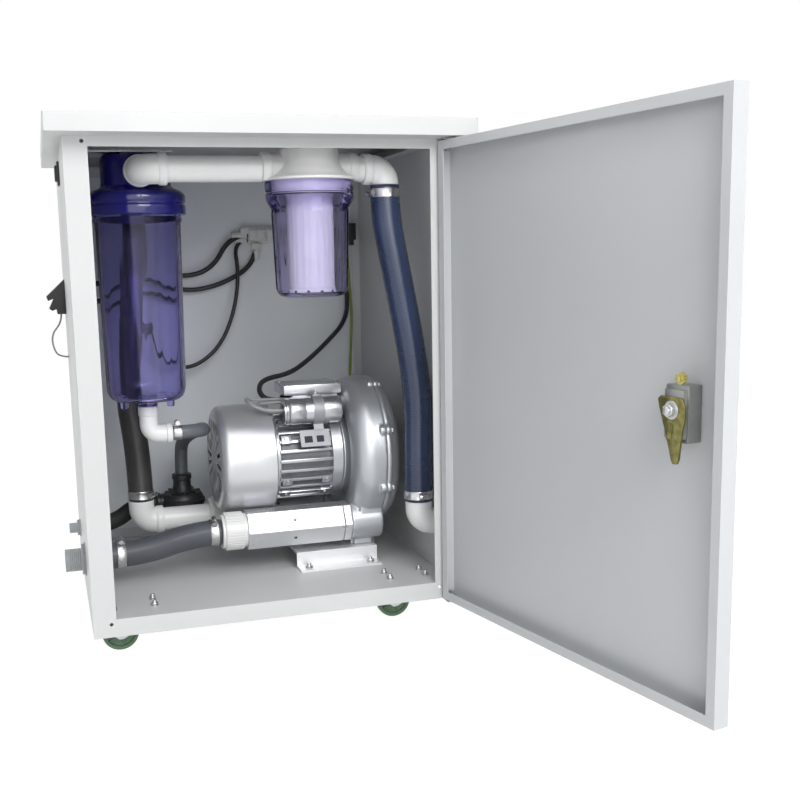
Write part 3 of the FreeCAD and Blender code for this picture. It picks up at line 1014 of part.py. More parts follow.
cover_solid = join("CoverSolid", [
    ring("CoverBulge", "casing_depth", "channel_centre_radius", "cover_bulge"),
    rod("CoverPlate", ("0", "0", "casing_depth"), UP, "casing_radius", "cover_thickness"),
    rod("CoverBoss", ("0", "0", "casing_depth"), UP, "casing_neck_radius / 2",
        "cover_thickness + 3")] + lugs("casing_depth", "cover_thickness"))
finish(carve("RingCover", cover_solid, [
    rod("CoverOpenSide", ("0", "0", "0"), UP, "2 * casing_radius", "casing_depth"),
    ring("CoverChannel", "casing_depth", "channel_centre_radius", "channel_radius")]),
    "ring_cover", AXIS_BASE, LAID)

impeller = new_body("Impeller")
IMPELLER_LOW = "(" + POCKET_FLOOR + " + impeller_gap)"
IMPELLER_TOP = "(" + IMPELLER_LOW + " + impeller_depth)"
revolve(impeller, [("shaft_nose_radius", IMPELLER_LOW + " - 4"),
                   ("shaft_radius + 1.6", IMPELLER_LOW + " - 4"),
                   ("shaft_radius + 1.6", IMPELLER_LOW), ("impeller_radius", IMPELLER_LOW),
                   ("impeller_radius", IMPELLER_TOP), ("shaft_nose_radius", IMPELLER_TOP)])
for start, reverse in ((IMPELLER_LOW, True), (IMPELLER_TOP, False)):
    sketch = new_sketch(impeller, "XY_Plane", start)
    add_rectangle(sketch, "channel_centre_radius - 15", "-impeller_pocket_width / 2",
                  "impeller_radius - 1.5", "impeller_pocket_width / 2")
    polar(impeller, pocket(impeller, sketch, "impeller_depth * 0.4", reverse=reverse),
          "impeller_pocket_count")
finish(impeller, "impeller", AXIS_BASE, LAID)

motor_shaft = new_body("MotorShaft")
STATOR_LOW = "(-5 - stator_length)"
FAN_LOW = "(-5 - stator_length - cowl_length + 22)"
revolve(motor_shaft, [("0", FAN_LOW + " - 4"), ("shaft_nose_radius", FAN_LOW + " - 4"),
                      ("shaft_radius", FAN_LOW + " - 2"), ("shaft_radius", STATOR_LOW + " + 18"),
                      ("stator_radius - 26", STATOR_LOW + " + 18"), ("stator_radius - 26", "-23"),
                      ("shaft_radius", "-23"), ("shaft_radius", IMPELLER_LOW + " - 4"),
                      ("shaft_nose_radius", IMPELLER_LOW + " - 4"),
                      ("shaft_nose_radius", IMPELLER_TOP), ("0", IMPELLER_TOP)])
finish(motor_shaft, "motor_shaft", AXIS_BASE, LAID)

fan = new_body("CoolingFan")
revolve(fan, [("shaft_radius", FAN_LOW), ("fan_hub_radius", FAN_LOW),
              ("fan_hub_radius + 1", FAN_LOW + " + fan_blade_width - 4"),
              ("fan_radius - 6", FAN_LOW + " + fan_blade_width - 3"),
              ("fan_radius - 6", FAN_LOW + " + fan_blade_width"),
              ("shaft_radius", FAN_LOW + " + fan_blade_width")])
sketch = new_sketch(fan, "XZ_Plane")
add_outline(sketch, [("fan_hub_radius - 2", FAN_LOW), ("fan_radius - 8", FAN_LOW),
                     ("fan_radius", FAN_LOW + " + fan_blade_width - 4"),
                     ("fan_hub_radius - 2", FAN_LOW + " + fan_blade_width - 1")])
polar(fan, pad(fan, sketch, "2.4", middle=True), "fan_blade_count")
finish(fan, "cooling_fan", AXIS_BASE, LAID)

bearings = []
for low in (STATOR_LOW, "-5 - bearing_width"):
    outer = rod("BearingOuter", ("0", "0", low), UP, "bearing_radius", "bearing_width")
    inner = rod("BearingBore", ("0", "0", low), UP, "shaft_radius + running_gap", "bearing_width")
    bearings.append(carve("Bearing", outer, [inner]))
finish(group("shaft_bearings", bearings), "shaft_bearings", AXIS_BASE, LAID)

stator = new_body("MotorStator")
revolve(stator, [("bearing_radius", STATOR_LOW), ("stator_radius", STATOR_LOW),
                 ("stator_radius", "-5"), ("bearing_radius", "-5"),
                 ("bearing_radius", "-5 - bearing_width"),
                 ("stator_radius - 25", "-5 - bearing_width"),
                 ("stator_radius - 25", STATOR_LOW + " + bearing_width"),
                 ("bearing_radius", STATOR_LOW + " + bearing_width")])
sketch = new_sketch(stator, "XZ_Plane")
add_rectangle(sketch, "stator_radius - 1", STATOR_LOW + " + stator_length / 2 - fin_length / 2",
              "stator_radius + fin_height", STATOR_LOW + " + stator_length / 2 + fin_length / 2")
polar(stator, pad(stator, sketch, "fin_thickness", middle=True), "fin_count")
finish(stator, "motor_stator", AXIS_BASE, LAID)

cowl = new_body("FanCowl")
COWL_LOW = "(-3 - stator_length - cowl_length)"
COWL_TOP = "(-3 - stator_length)"
revolve(cowl, [("0", COWL_LOW), ("cowl_radius - cowl_round", COWL_LOW),
               ("cowl_radius - cowl_round * 0.5", COWL_LOW + " + cowl_round * 0.13"),
               ("cowl_radius - cowl_round * 0.13", COWL_LOW + " + cowl_round * 0.5"),
               ("cowl_radius", COWL_LOW + " + cowl_round"), ("cowl_radius", COWL_TOP),
               ("cowl_radius - cowl_wall", COWL_TOP),
               ("cowl_radius - cowl_wall", COWL_LOW + " + cowl_round"),
               ("cowl_radius - cowl_wall * 1.3 - 1.8", COWL_LOW + " + cowl_round * 0.5 + 1"),
               ("cowl_radius - cowl_round * 0.5 - 1", COWL_LOW + " + cowl_wall * 1.3 + 1.8"),
               ("cowl_radius - cowl_round", COWL_LOW + " + cowl_wall"), ("0", COWL_LOW + " + cowl_wall")])
sketch = new_sketch(cowl, "XY_Plane", COWL_LOW)
add_rectangle(sketch, "22", "-cowl_slot_width / 2", "22 + cowl_slot_length", "cowl_slot_width / 2")
polar(cowl, pocket(cowl, sketch, "2 * cowl_wall", reverse=True), "cowl_slot_count")
sketch = new_sketch(cowl, "XZ_Plane")
add_rectangle(sketch, "stator_radius - 7", STATOR_LOW + " - 6", "cowl_radius - cowl_wall / 2", STATOR_LOW)
polar(cowl, pad(cowl, sketch, "9", middle=True), "4")
finish(cowl, "fan_cowl", AXIS_BASE, LAID)

# Terminal box on the fin tips, with its lid and cable gland
BOX_LEFT = "(casing_from_left - 4 - terminal_box_length)"
BOX_FRONT = "(blower_from_front - terminal_box_width / 2)"
BOX_LOW = "(blower_axis_height + stator_radius + fin_height)"
terminal_box = new_body("TerminalBox")
sketch = new_sketch(terminal_box, "XY_Plane", BOX_LOW)
add_rectangle(sketch, BOX_LEFT + " + 3", BOX_FRONT + " + 3", BOX_LEFT + " + terminal_box_length - 3",
              BOX_FRONT + " + terminal_box_width - 3")
pad(terminal_box, sketch, "terminal_box_height - 8")
sketch = new_sketch(terminal_box, "XY_Plane", BOX_LOW + " + terminal_box_height - 8")
add_rectangle(sketch, BOX_LEFT, BOX_FRONT, BOX_LEFT + " + terminal_box_length",
              BOX_FRONT + " + terminal_box_width")
pad(terminal_box, sketch, "8")
finish(terminal_box, "terminal_box")
GLAND_Z = "(" + BOX_LOW + " + terminal_box_height * 0.42)"
gland_x = S.casing_from_left - 4 - S.terminal_box_length + 3
gland_z = S.blower_axis_height + S.stator_radius + S.fin_height + S.terminal_box_height * 0.42
box_gland = join("BoxGland", [
    rod("BoxGlandNut", (BOX_LEFT + " - 3", "blower_from_front", GLAND_Z), RIGHT,
        "gland_nut_radius - 1", "6"),
    rod("BoxGlandDome", (BOX_LEFT + " - 12", "blower_from_front", GLAND_Z), RIGHT,
        "gland_radius - 1", "9.5")])

# Run capacitor in its strap beside the terminal box
CAPACITOR_LEFT = "(casing_from_left - 6 - capacitor_length)"
group("run_capacitor", [rod("Capacitor", (CAPACITOR_LEFT, "blower_from_front - capacitor_forward",
                         "blower_axis_height + capacitor_lift"), RIGHT, "capacitor_radius",
           "capacitor_length")])
STRAP_LEFT = "(" + CAPACITOR_LEFT + " + capacitor_length / 2)"
strap_ring = carve("StrapRing", rod("StrapOuter", (
    STRAP_LEFT, "blower_from_front - capacitor_forward", "blower_axis_height + capacitor_lift"), RIGHT,
    "capacitor_radius + 1.2", "strap_width"), [rod("StrapInner", (
        STRAP_LEFT, "blower_from_front - capacitor_forward", "blower_axis_height + capacitor_lift"),
        RIGHT, "capacitor_radius", "strap_width")])
strap_tab = block("StrapTab", (STRAP_LEFT, "blower_from_front - capacitor_forward + capacitor_radius + "
                               "0.2", "blower_axis_height + capacitor_lift - 5"),
                  ("strap_width", "capacitor_forward - capacitor_radius - 0.2 - terminal_box_width / 2 "
                   "+ 3", "10"))
finish(join("CapacitorStrap", [strap_ring, strap_tab]), "capacitor_strap")

# Port silencers: hexagonal tubes from the port block, each with a coupling ring at its left end
silencers = []
for name, side in (("front", "-"), ("rear", "+")):
    silencer = new_body("Silencer_" + name)
    sketch = new_sketch(silencer, "YZ_Plane", "casing_from_left - silencer_length")
    port_y = "blower_from_front %s port_spread" % side
    port_z = "blower_axis_height - port_drop"
    add_outline(sketch, [("%s + silencer_flats / 1.732 * %.5f" % (port_y, math.cos(math.radians(a))),
                          "%s + silencer_flats / 1.732 * %.5f" % (port_z, math.sin(math.radians(a))))
                         for a in range(0, 360, 60)])
    add_circle(sketch, port_y, port_z, "pipe_radius - pipe_wall")
    pad(silencer, sketch, "silencer_length")
    silencers.append(silencer)
group("port_silencers", silencers)
rings = []
for side in (FRONT_PORT, REAR_PORT):
    start = Vector(COUPLING_LEFT, side, SILENCER_HEIGHT)
    body = Part.makeCylinder(S.coupling_radius, S.coupling_length - 8, start + RIGHT * 4, RIGHT)
    body = body.fuse(Part.makeCylinder(S.coupling_radius - 3, S.coupling_length, start, RIGHT))
    if side == FRONT_PORT:
        body = body.fuse(Part.makeCylinder(EXHAUST_BORE - SPIGOT_GAP, S.spigot_length, start, LEFT))
    bore = Part.makeCylinder(PIPE_BORE - 2, 2 * S.coupling_length + S.spigot_length,
                             start + LEFT * S.spigot_length, RIGHT)
    rings.append(body.cut(bore))
coded("coupling_rings", Part.makeCompound(rings))

# Mounting foot: a bent sheet bridge with bolted flanges on the cabinet floor
foot = new_body("MountingFoot")
FOOT_BACK = "(" + FOOT_FRONT + " + foot_top_width)"
sketch = new_sketch(foot, "YZ_Plane", FOOT_LEFT)
add_outline(sketch, [
    (FOOT_FRONT + " - foot_flange", "bottom_rail"), (FOOT_FRONT + " + foot_sheet", "bottom_rail"),
    (FOOT_FRONT + " + foot_sheet", "foot_top_height - foot_sheet"),
    (FOOT_BACK + " - foot_sheet", "foot_top_height - foot_sheet"),
    (FOOT_BACK + " - foot_sheet", "bottom_rail"), (FOOT_BACK + " + foot_flange", "bottom_rail"),
    (FOOT_BACK + " + foot_flange", "bottom_rail + foot_sheet"),
    (FOOT_BACK, "bottom_rail + foot_sheet"), (FOOT_BACK, "foot_top_height"),
    (FOOT_FRONT, "foot_top_height"), (FOOT_FRONT, "bottom_rail + foot_sheet"),
    (FOOT_FRONT + " - foot_flange", "bottom_rail + foot_sheet")])
pad(foot, sketch, "foot_length")
sketch = new_sketch(foot, "XY_Plane", "bottom_rail")
for across, along in foot_bolt_places:
    add_circle(sketch, across, along, "foot_bolt_radius + bolt_hole_clearance")
pocket(foot, sketch, "foot_sheet", reverse=True)
finish(foot, "mounting_foot")
for across, along in foot_bolt_places:
    shank = rod("FootBolt", (across, along, "bottom_rail - sheet_wall - 3"), UP, "foot_bolt_radius",
                "sheet_wall + foot_sheet + 9")
    nut = rod("FootNut", (across, along, "bottom_rail + foot_sheet"), UP, "2 * foot_bolt_radius - 0.5",
              "4.5")
    head = rod("FootBoltHead", (across, along, "bottom_rail - sheet_wall - 3"), UP,
               "2 * foot_bolt_radius - 0.5", "3")
    bolts.append(join("FootBoltSet", [shank, nut, head]))
group("floor_bolts", bolts)

# Terminal strip on the back panel, its cables, the earth wire and the wall glands
STRIP_FRONT = "(carcass_depth - sheet_wall - strip_depth)"
strip = new_body("TerminalStrip")
sketch = new_sketch(strip, "XZ_Plane", "-" + STRIP_FRONT)
add_rectangle(sketch, "strip_from_left", "strip_from_floor", "strip_from_left + strip_length",
              "strip_from_floor + strip_height")
pad(strip, sketch, "strip_depth", reverse=True)
sketch = new_sketch(strip, "XZ_Plane", "-" + STRIP_FRONT)
add_rectangle(sketch, "strip_from_left + 4", "strip_from_floor + strip_height * 0.4",
              "strip_from_left + strip_length - 4", "strip_from_floor + strip_height * 0.6")
pocket(strip, sketch, "strip_depth * 0.3")
finish(strip, "terminal_strip")


def wall_gland(centre, direction, outside):
    """A cable gland clamped on a wall by its nut inside; outside are its own nut and dome."""
    wall = S.sheet_wall
    shape = Part.makeCylinder(S.gland_radius - 0.2, wall + 4, centre - direction * (wall + 4), direction)
    shape = shape.fuse(Part.makeCylinder(S.gland_nut_radius, 4, centre - direction * wall, direction * -1))
    if outside:
        shape = shape.fuse(Part.makeCylinder(S.gland_nut_radius, 5, centre, direction))
        shape = shape.fuse(Part.makeCylinder(S.gland_radius - 1, S.gland_reach, centre, direction))
    return shape


side_glands = [Vector(0, S.wall_gland_from_front, S.wall_gland_height - i * S.wall_gland_pitch)
               for i in range(2)]
rear_gland = Vector(S.rear_gland_from_left, S.carcass_depth, S.rear_gland_height)
wall_glands = doc.addObject("Part::Feature", "WallGlands")
wall_glands.Shape = Part.makeCompound([wall_gland(place, LEFT, False) for place in side_glands]
                                      + [wall_gland(rear_gland, BACK, True)])
group("cable_glands", [box_gland, wall_glands])

# Outside the left wall: angled mains plugs over the two glands, a loop of thin wire below them
# and a rocker switch under the lid's edge
plug = new_body("MainsPlugs")
PLUG_TOP = "wall_gland_height"
sketch = new_sketch(plug, "XZ_Plane", "-(wall_gland_from_front - plug_width / 2)")
add_outline(sketch, [("0", PLUG_TOP + " + 13"), ("-26", PLUG_TOP + " - 11"),
                     ("-24", PLUG_TOP + " - 17"), ("-16", PLUG_TOP + " - 14"),
                     ("-23", PLUG_TOP + " - 28"), ("-19", PLUG_TOP + " - 31"),
                     ("-13", PLUG_TOP + " - 29"), ("-12", PLUG_TOP + " - 36"),
                     ("0", PLUG_TOP + " - 36")])
pad(plug, sketch, "plug_width", reverse=True)
switch = [block("SwitchPlate", ("-3", "switch_from_front - switch_width / 2",
                                "carcass_height - switch_drop"), ("3", "switch_width", "switch_height")),
          block("SwitchRocker", ("-6", "switch_from_front - switch_width / 2 + 5",
                                 "carcass_height - switch_drop + 5"),
                ("6", "switch_width - 10", "switch_height - 10"))]
loop_top = Vector(-7, S.wall_gland_from_front, S.wall_gland_height - 36)
loop_wire = doc.addObject("Part::Feature", "LoopWire")
loop_wire.Shape = tube("loop_wire", slung(loop_top, [
    (0, 0, 0, -12), (0, -16, 0, -30), (0, -12, 0, -56), (0, -1, 0, -62)], loop_top + Vector(7, 0, -62)),
    S.loop_wire_radius, 0)
group("side_fittings", [plug, join("RockerSwitch", switch), loop_wire])

THICK, THIN, EARTH = S.mains_cable_radius, S.thin_cable_radius, S.earth_wire_radius
BACK_INSIDE = S.carcass_depth - S.sheet_wall
strip_foot = Vector(S.strip_from_left, BACK_INSIDE, S.strip_from_floor)
gland_ends = [place + RIGHT * (S.sheet_wall + 4) for place in side_glands]
cable_paths = [
    (THICK, slung(gland_ends[0], [
        (0, 28.8, 0, 0), (0.236, 0, 6.5, -2), (0.41, 0, 24.6, 2), (0.6, 0, 19.8, -34),
        (0.79, 0, 9, -36), (1, -28, 0, 0)], strip_foot + Vector(0, -11.8, 12))),
    (THICK, slung(gland_ends[1], [
        (0, 28.8, 0, 0), (0.236, 0, 4, -8), (0.41, 0, 20, -3), (0.6, 0, 19, -38),
        (0.79, 0, 7, -46), (1, 0, 0, -32)], strip_foot + Vector(12, -9.8, 0))),
    (THIN, slung(Vector(rear_gland.x, BACK_INSIDE - 4, rear_gland.z), [
        (0, 0, -23.8, 0), (0, 6, -42.8, -22), (0.16, 0, -40, -79), (0.383, 0, -31, -116),
        (0.654, 0, -22, -122), (0.815, 0, -18, -92), (0.89, 0, -13, -40), (1, -22, 0, 0)],
        strip_foot + Vector(0, -7.8, 4.5))),
]
coded("panel_cables", Part.makeCompound([
    tube("panel_cable_%d" % i, points, radius, 0) for i, (radius, points) in enumerate(cable_paths)]))
gland_end = Vector(gland_x - 15, S.blower_from_front, gland_z)
capacitor_end = Vector(S.casing_from_left - 6 - S.capacitor_length,
                       S.blower_from_front - S.capacitor_forward,
                       S.blower_axis_height + S.capacitor_lift)
box_side = Vector(gland_x, S.blower_from_front, gland_z)
coded("motor_cables", Part.makeCompound([
    tube("motor_cable", slung(gland_end, [
        (0, -18, 0, 0), (0, -28, 16, 12.4), (0, -16, 40, 26.4), (0, 28, 56, 30.4),
        (0.4, 5, 12, -42.6), (0.6, 12, 10.8, -67), (0.9, 15, -0.8, -101.8), (1, 8, -2, -80),
        (1, 0, 0, -37)], strip_foot + Vector(150, -10.8, 0)), THICK, 0),
    tube("capacitor_lead_0", slung(capacitor_end + Vector(0, -3, 3), [
        (0, -22, 0, 0), (0, -42, 7, 9), (0, -48, 23, 17), (0, -30, 37, 10.62)],
        box_side + Vector(0, -14, 3)), S.lead_radius, 0),
    tube("capacitor_lead_1", slung(capacitor_end + Vector(0, 4, 0), [
        (0, -16, 0, 0), (0, -29, 4, 7), (0, -31, 14, 11), (0, -16, 20, 10.62)],
        box_side + Vector(0, -24, 0)), S.lead_radius, 0)]))
earth_nut = Vector(S.casing_from_left + 24, S.blower_from_front + 85.2, S.bottom_rail + 7.6)
coded("earth_wire", tube("earth_wire", slung(strip_foot + Vector(160, -10.8, 0), [
    (0, 0, 0, -42), (0.226, 18.7, 27, 0), (0.362, 24.3, 42.7, 0), (0.524, 27.4, 56, 0),
    (0.694, 30.9, 62, 0), (0.841, 31, 54, 0), (0.94, 20.6, 30.4, 0)], earth_nut), EARTH, 0))

# Move the whole unit so that its origin is the middle of its box's foot
doc.recompute()
low = [1e9, 1e9, 1e9]
high = [-1e9, -1e9, -1e9]
for piece in finished.values():
    box = piece.Shape.BoundBox
    low = [min(a, b) for a, b in zip(low, (box.XMin, box.YMin, box.ZMin))]
    high = [max(a, b) for a, b in zip(high, (box.XMax, box.YMax, box.ZMax))]
shift = Vector(-(low[0] + high[0]) / 2, -(low[1] + high[1]) / 2, -low[2])
print("shift", shift, "size", [round(b - a, 2) for a, b in zip(low, high)])
for piece in finished.values():
    piece.Placement = Placement(shift, Rotation()).multiply(piece.Placement)
doc.recompute()

os.makedirs("parts", exist_ok=True)
total = 0
for label, piece in finished.items():
    shape = piece.Shape
    if shape.isNull() or not shape.isValid() or not shape.Solids:
        raise RuntimeError(label + " has no valid solid")
for item in doc.Objects:
    if "Invalid" in item.State or "Error" in item.State:
        raise RuntimeError(item.Label + " is in state " + " ".join(item.State))
for label, piece in finished.items():
    piece.Shape.exportStep("parts/" + label + ".step")
print(len(finished), "sub-parts written")
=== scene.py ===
import math
import bmesh
import bpy
from mathutils import Matrix, Vector


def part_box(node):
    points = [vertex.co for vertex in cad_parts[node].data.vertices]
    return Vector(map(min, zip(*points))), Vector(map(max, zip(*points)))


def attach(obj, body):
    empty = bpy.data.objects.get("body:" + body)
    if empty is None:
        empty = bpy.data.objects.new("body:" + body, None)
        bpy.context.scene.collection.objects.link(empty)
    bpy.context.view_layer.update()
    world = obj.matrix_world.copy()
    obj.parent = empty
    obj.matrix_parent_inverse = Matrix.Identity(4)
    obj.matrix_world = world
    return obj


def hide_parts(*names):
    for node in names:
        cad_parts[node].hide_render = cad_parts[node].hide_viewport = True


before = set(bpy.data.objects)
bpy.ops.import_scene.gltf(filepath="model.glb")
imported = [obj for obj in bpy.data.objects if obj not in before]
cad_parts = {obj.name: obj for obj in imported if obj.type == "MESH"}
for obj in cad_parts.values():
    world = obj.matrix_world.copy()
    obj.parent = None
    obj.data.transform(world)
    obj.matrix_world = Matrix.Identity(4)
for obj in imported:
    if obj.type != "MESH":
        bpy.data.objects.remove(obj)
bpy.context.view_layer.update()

# Studio
# The unit stands on a pale seamless floor. The view is that of the photograph: from the front,
# a little to the left of the open door, with the cabinet's inside in full light.
corner = Vector(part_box("carcass")[0])


def at(x, y, z):
    """A place given in millimetres from the cabinet's front bottom left corner."""
    return corner + Vector((x, y, z)) / 1000


def show(name, data):
    """Puts a new camera, lamp, mesh or curve into the scene."""
    made = bpy.data.objects.new(name, data)
    bpy.context.scene.collection.objects.link(made)
    return made


camera_data = bpy.data.cameras.new("view")
camera = show("view", camera_data)
camera_place = at(-34.219, -1248.331, 439.178)
sideways = Vector((0.957878, -0.286185, -0.023842))
upwards = Vector((0.067441, 0.14347, 0.987354))
camera_turn = Matrix((sideways, upwards, sideways.cross(upwards))).transposed().to_4x4()
camera.matrix_world = Matrix.Translation(camera_place) @ camera_turn
camera_data.sensor_width = 36
camera_data.lens = 47.38
camera_data.shift_x = 0.0546
camera_data.shift_y = 0.0365
camera_data.clip_start = 0.02
bpy.context.scene.camera = camera
bpy.context.scene.view_settings.view_transform = "Standard"


def backdrop(tree, output, share, lighting, background):
    """Lights the unit with one shader and shows another, by a share, to the rays that see the
    background: straight ones, and those in metal and through clear plastic."""
    nodes, join = tree.nodes, tree.links.new
    nodes.clear()
    path = nodes.new("ShaderNodeLightPath")
    seen = path.outputs["Is Camera Ray"]
    for ray in ("Is Glossy Ray", "Is Transmission Ray"):
        either = nodes.new("ShaderNodeMath")
        either.operation = "MAXIMUM"
        join(seen, either.inputs[0])
        join(path.outputs[ray], either.inputs[1])
        seen = either.outputs[0]
    part = nodes.new("ShaderNodeMath")
    part.operation = "MULTIPLY"
    part.inputs[1].default_value = share
    join(seen, part.inputs[0])
    mixed = nodes.new("ShaderNodeMixShader")
    join(part.outputs[0], mixed.inputs[0])
    for i, (kind, colour, strength) in enumerate((lighting, background)):
        shader = nodes.new(kind)
        shader.inputs["Color"].default_value = (*colour, 1)
        if strength:
            shader.inputs["Strength"].default_value = strength
        join(shader.outputs[0], mixed.inputs[i + 1])
    join(mixed.outputs[0], nodes.new(output).inputs[0])


white = (1, 1, 1)
world = bpy.data.worlds.new("studio")
bpy.context.scene.world = world
world.use_nodes = True
backdrop(world.node_tree, "ShaderNodeOutputWorld", 1.0,
         ("ShaderNodeBackground", (0.95, 0.975, 1), 0.34), ("ShaderNodeBackground", white, 1.0))


def softbox(name, place, target, size, power):
    """A square studio light that faces the target."""
    light = bpy.data.lights.new(name, "AREA")
    light.shape = "SQUARE"
    light.size = size
    light.energy = power
    lamp = show(name, light)
    lamp.location = place
    lamp.rotation_euler = (Vector(target) - Vector(place)).to_track_quat("-Z", "Y").to_euler()


softbox("key", (0.32, -2.0, 1.6), (0, 0.1, 0.25), 1.3, 36)
softbox("front_fill", (-0.4, -2.4, 0.9), (0, 0.2, 0.2), 1.9, 14)
softbox("top", (0.0, -0.2, 2.2), (0, 0.1, 0.4), 1.4, 14)
softbox("rim", (-1.6, 1.4, 1.4), (0, 0.2, 0.3), 1.0, 8)

floor_bm = bmesh.new()
bmesh.ops.create_grid(floor_bm, x_segments=1, y_segments=1, size=8)
floor_mesh = bpy.data.meshes.new("floor")
floor_bm.to_mesh(floor_mesh)
floor_bm.free()
floor = show("floor", floor_mesh)
paper = bpy.data.materials.new("white_paper")
paper.use_nodes = True
backdrop(paper.node_tree, "ShaderNodeOutputMaterial", 0.8,
         ("ShaderNodeBsdfDiffuse", (0.92, 0.92, 0.92), None), ("ShaderNodeEmission", white, 1.2))
floor_mesh.materials.append(paper)


# Carcass
# One shell of 1.2 mm sheet steel, folded, spot-welded and powder coated off-white: front frame,
# floor, flanges for the back panel and the lid. Its folds have small round edges.
def grained_surface():
    """A node group that breaks up a plain surface: its colour and gloss drift between two
    values and its fine relief is a noise, both on the object's own coordinates."""
    group = bpy.data.node_groups.new("grained_surface", "ShaderNodeTree")
    side = group.interface
    for title, kind, value in (("Tone", "NodeSocketColor", (0.8, 0.8, 0.8, 1)),
                               ("Shade", "NodeSocketColor", (0.6, 0.6, 0.6, 1)),
                               ("Drift", "NodeSocketFloat", 12.0),
                               ("Grain", "NodeSocketFloat", 900.0),
                               ("Relief", "NodeSocketFloat", 0.1),
                               ("Smooth", "NodeSocketFloat", 0.35),
                               ("Rough", "NodeSocketFloat", 0.5)):
        side.new_socket(name=title, in_out="INPUT", socket_type=kind).default_value = value
    for title, kind in (("Color", "NodeSocketColor"), ("Roughness", "NodeSocketFloat"),
                        ("Normal", "NodeSocketVector")):
        side.new_socket(name=title, in_out="OUTPUT", socket_type=kind)
    n, join = group.nodes, group.links.new
    inp, out = n.new("NodeGroupInput"), n.new("NodeGroupOutput")
    place = n.new("ShaderNodeTexCoord")
    drift = n.new("ShaderNodeTexNoise")
    drift.inputs["Detail"].default_value = 2.5
    join(place.outputs["Object"], drift.inputs["Vector"])
    join(inp.outputs["Drift"], drift.inputs["Scale"])
    spread = n.new("ShaderNodeMapRange")
    spread.inputs["From Min"].default_value = 0.25
    spread.inputs["From Max"].default_value = 0.78
    join(drift.outputs["Fac"], spread.inputs["Value"])
    tone = n.new("ShaderNodeMix")
    tone.data_type = "RGBA"
    join(spread.outputs[0], tone.inputs[0])
    join(inp.outputs["Tone"], tone.inputs[6])
    join(inp.outputs["Shade"], tone.inputs[7])
    join(tone.outputs[2], out.inputs["Color"])
    gloss = n.new("ShaderNodeMix")
    join(spread.outputs[0], gloss.inputs[0])
    join(inp.outputs["Smooth"], gloss.inputs[2])
    join(inp.outputs["Rough"], gloss.inputs[3])
    join(gloss.outputs[0], out.inputs["Roughness"])
    fine = n.new("ShaderNodeTexNoise")
    join(place.outputs["Object"], fine.inputs["Vector"])
    join(inp.outputs["Grain"], fine.inputs["Scale"])
    bump = n.new("ShaderNodeBump")
    bump.inputs["Distance"].default_value = 0.00012
    join(inp.outputs["Relief"], bump.inputs["Strength"])
    join(fine.outputs[0], bump.inputs["Height"])
    join(bump.outputs[0], out.inputs["Normal"])
    return group


grained = grained_surface()


def material(name, tone, shade, smooth, rough, grain=900.0, relief=0.1, drift=12.0,
             metallic=0.0, coat=0.0, transmission=0.0, ior=1.5):
    """A Principled material whose colour, gloss and relief come from the grained surface."""
    made = bpy.data.materials.new(name)
    made.use_nodes = True
    tree = made.node_tree
    shader = tree.nodes["Principled BSDF"]
    surface = tree.nodes.new("ShaderNodeGroup")
    surface.node_tree = grained
    for title, value in (("Tone", (*tone, 1)), ("Shade", (*shade, 1)), ("Drift", drift), ("Grain", grain),
                         ("Relief", relief), ("Smooth", smooth), ("Rough", rough)):
        surface.inputs[title].default_value = value
    for source, target in (("Color", "Base Color"), ("Roughness", "Roughness"), ("Normal", "Normal")):
        tree.links.new(surface.outputs[source], shader.inputs[target])
    for title, value in (("Metallic", metallic), ("Coat Weight", coat), ("Transmission Weight", transmission),
                         ("IOR", ior)):
        shader.inputs[title].default_value = value
    return made


def mount(piece, nodes, body):
    """Lets a piece ride on a body and stand for CAD nodes."""
    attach(piece, body)
    if nodes:
        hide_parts(*nodes)
    return piece


def add_piece(name, bm, finish, nodes=(), body="cabinet"):
    """Turns a bmesh into a piece; faces that meet at more than 35 degrees keep a sharp edge."""
    mesh = bpy.data.meshes.new(name)
    bm.to_mesh(mesh)
    bm.free()
    mesh.materials.append(finish)
    mesh.shade_smooth()
    mesh.set_sharp_from_angle(angle=math.radians(35))
    return mount(show(name, mesh), nodes, body)


def round_off(bm, width, angle, segments):
    """Rounds the edges that are sharper than an angle in degrees by a width in millimetres."""
    sharp = [e for e in bm.edges if e.is_manifold and e.calc_face_angle(0) > math.radians(angle)]
    bmesh.ops.bevel(bm, geom=sharp, affect="EDGES", offset=width / 1000, segments=segments,
                    profile=0.5, material=-1, clamp_overlap=True)


def flat_faces(piece):
    """Shades the large faces flat and leaves the turn of the light to the rounded edges."""
    steady = piece.modifiers.new("flat_faces", "WEIGHTED_NORMAL")
    steady.weight = 100
    steady.keep_sharp = True


def folded_sheet(node, name, finish, edge, body="cabinet"):
    """A CAD sheet-metal shape with its loose triangles merged and its edges rounded."""
    bm = bmesh.new()
    bm.from_mesh(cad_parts[node].data)
    bmesh.ops.remove_doubles(bm, verts=bm.verts, dist=1e-6)
    bmesh.ops.dissolve_limit(bm, angle_limit=math.radians(0.5), verts=bm.verts, edges=bm.edges)
    round_off(bm, edge, 40, 2)
    flat_faces(add_piece(name, bm, finish, [node], body))


coat_white = material("powder_coat", (0.63, 0.64, 0.637), (0.60, 0.61, 0.607), 0.34, 0.44,
                      grain=650, relief=0.12, drift=6)
folded_sheet("carcass", "carcass_shell", coat_white, 0.3)

# Back panel
# A flat sheet that closes the back, screwed to the carcass flanges and coated a greyer tone.
coat_grey = material("grey_coat", (0.78, 0.815, 0.83), (0.72, 0.755, 0.77), 0.4, 0.55,
                     grain=650, relief=0.12, drift=5)
folded_sheet("back_panel", "back_sheet", coat_grey, 0.2)

# Lid
# A pan of the same sheet with its front overhanging as a grip, turned down on all four sides.
folded_sheet("lid", "lid_pan", coat_white, 1.2)

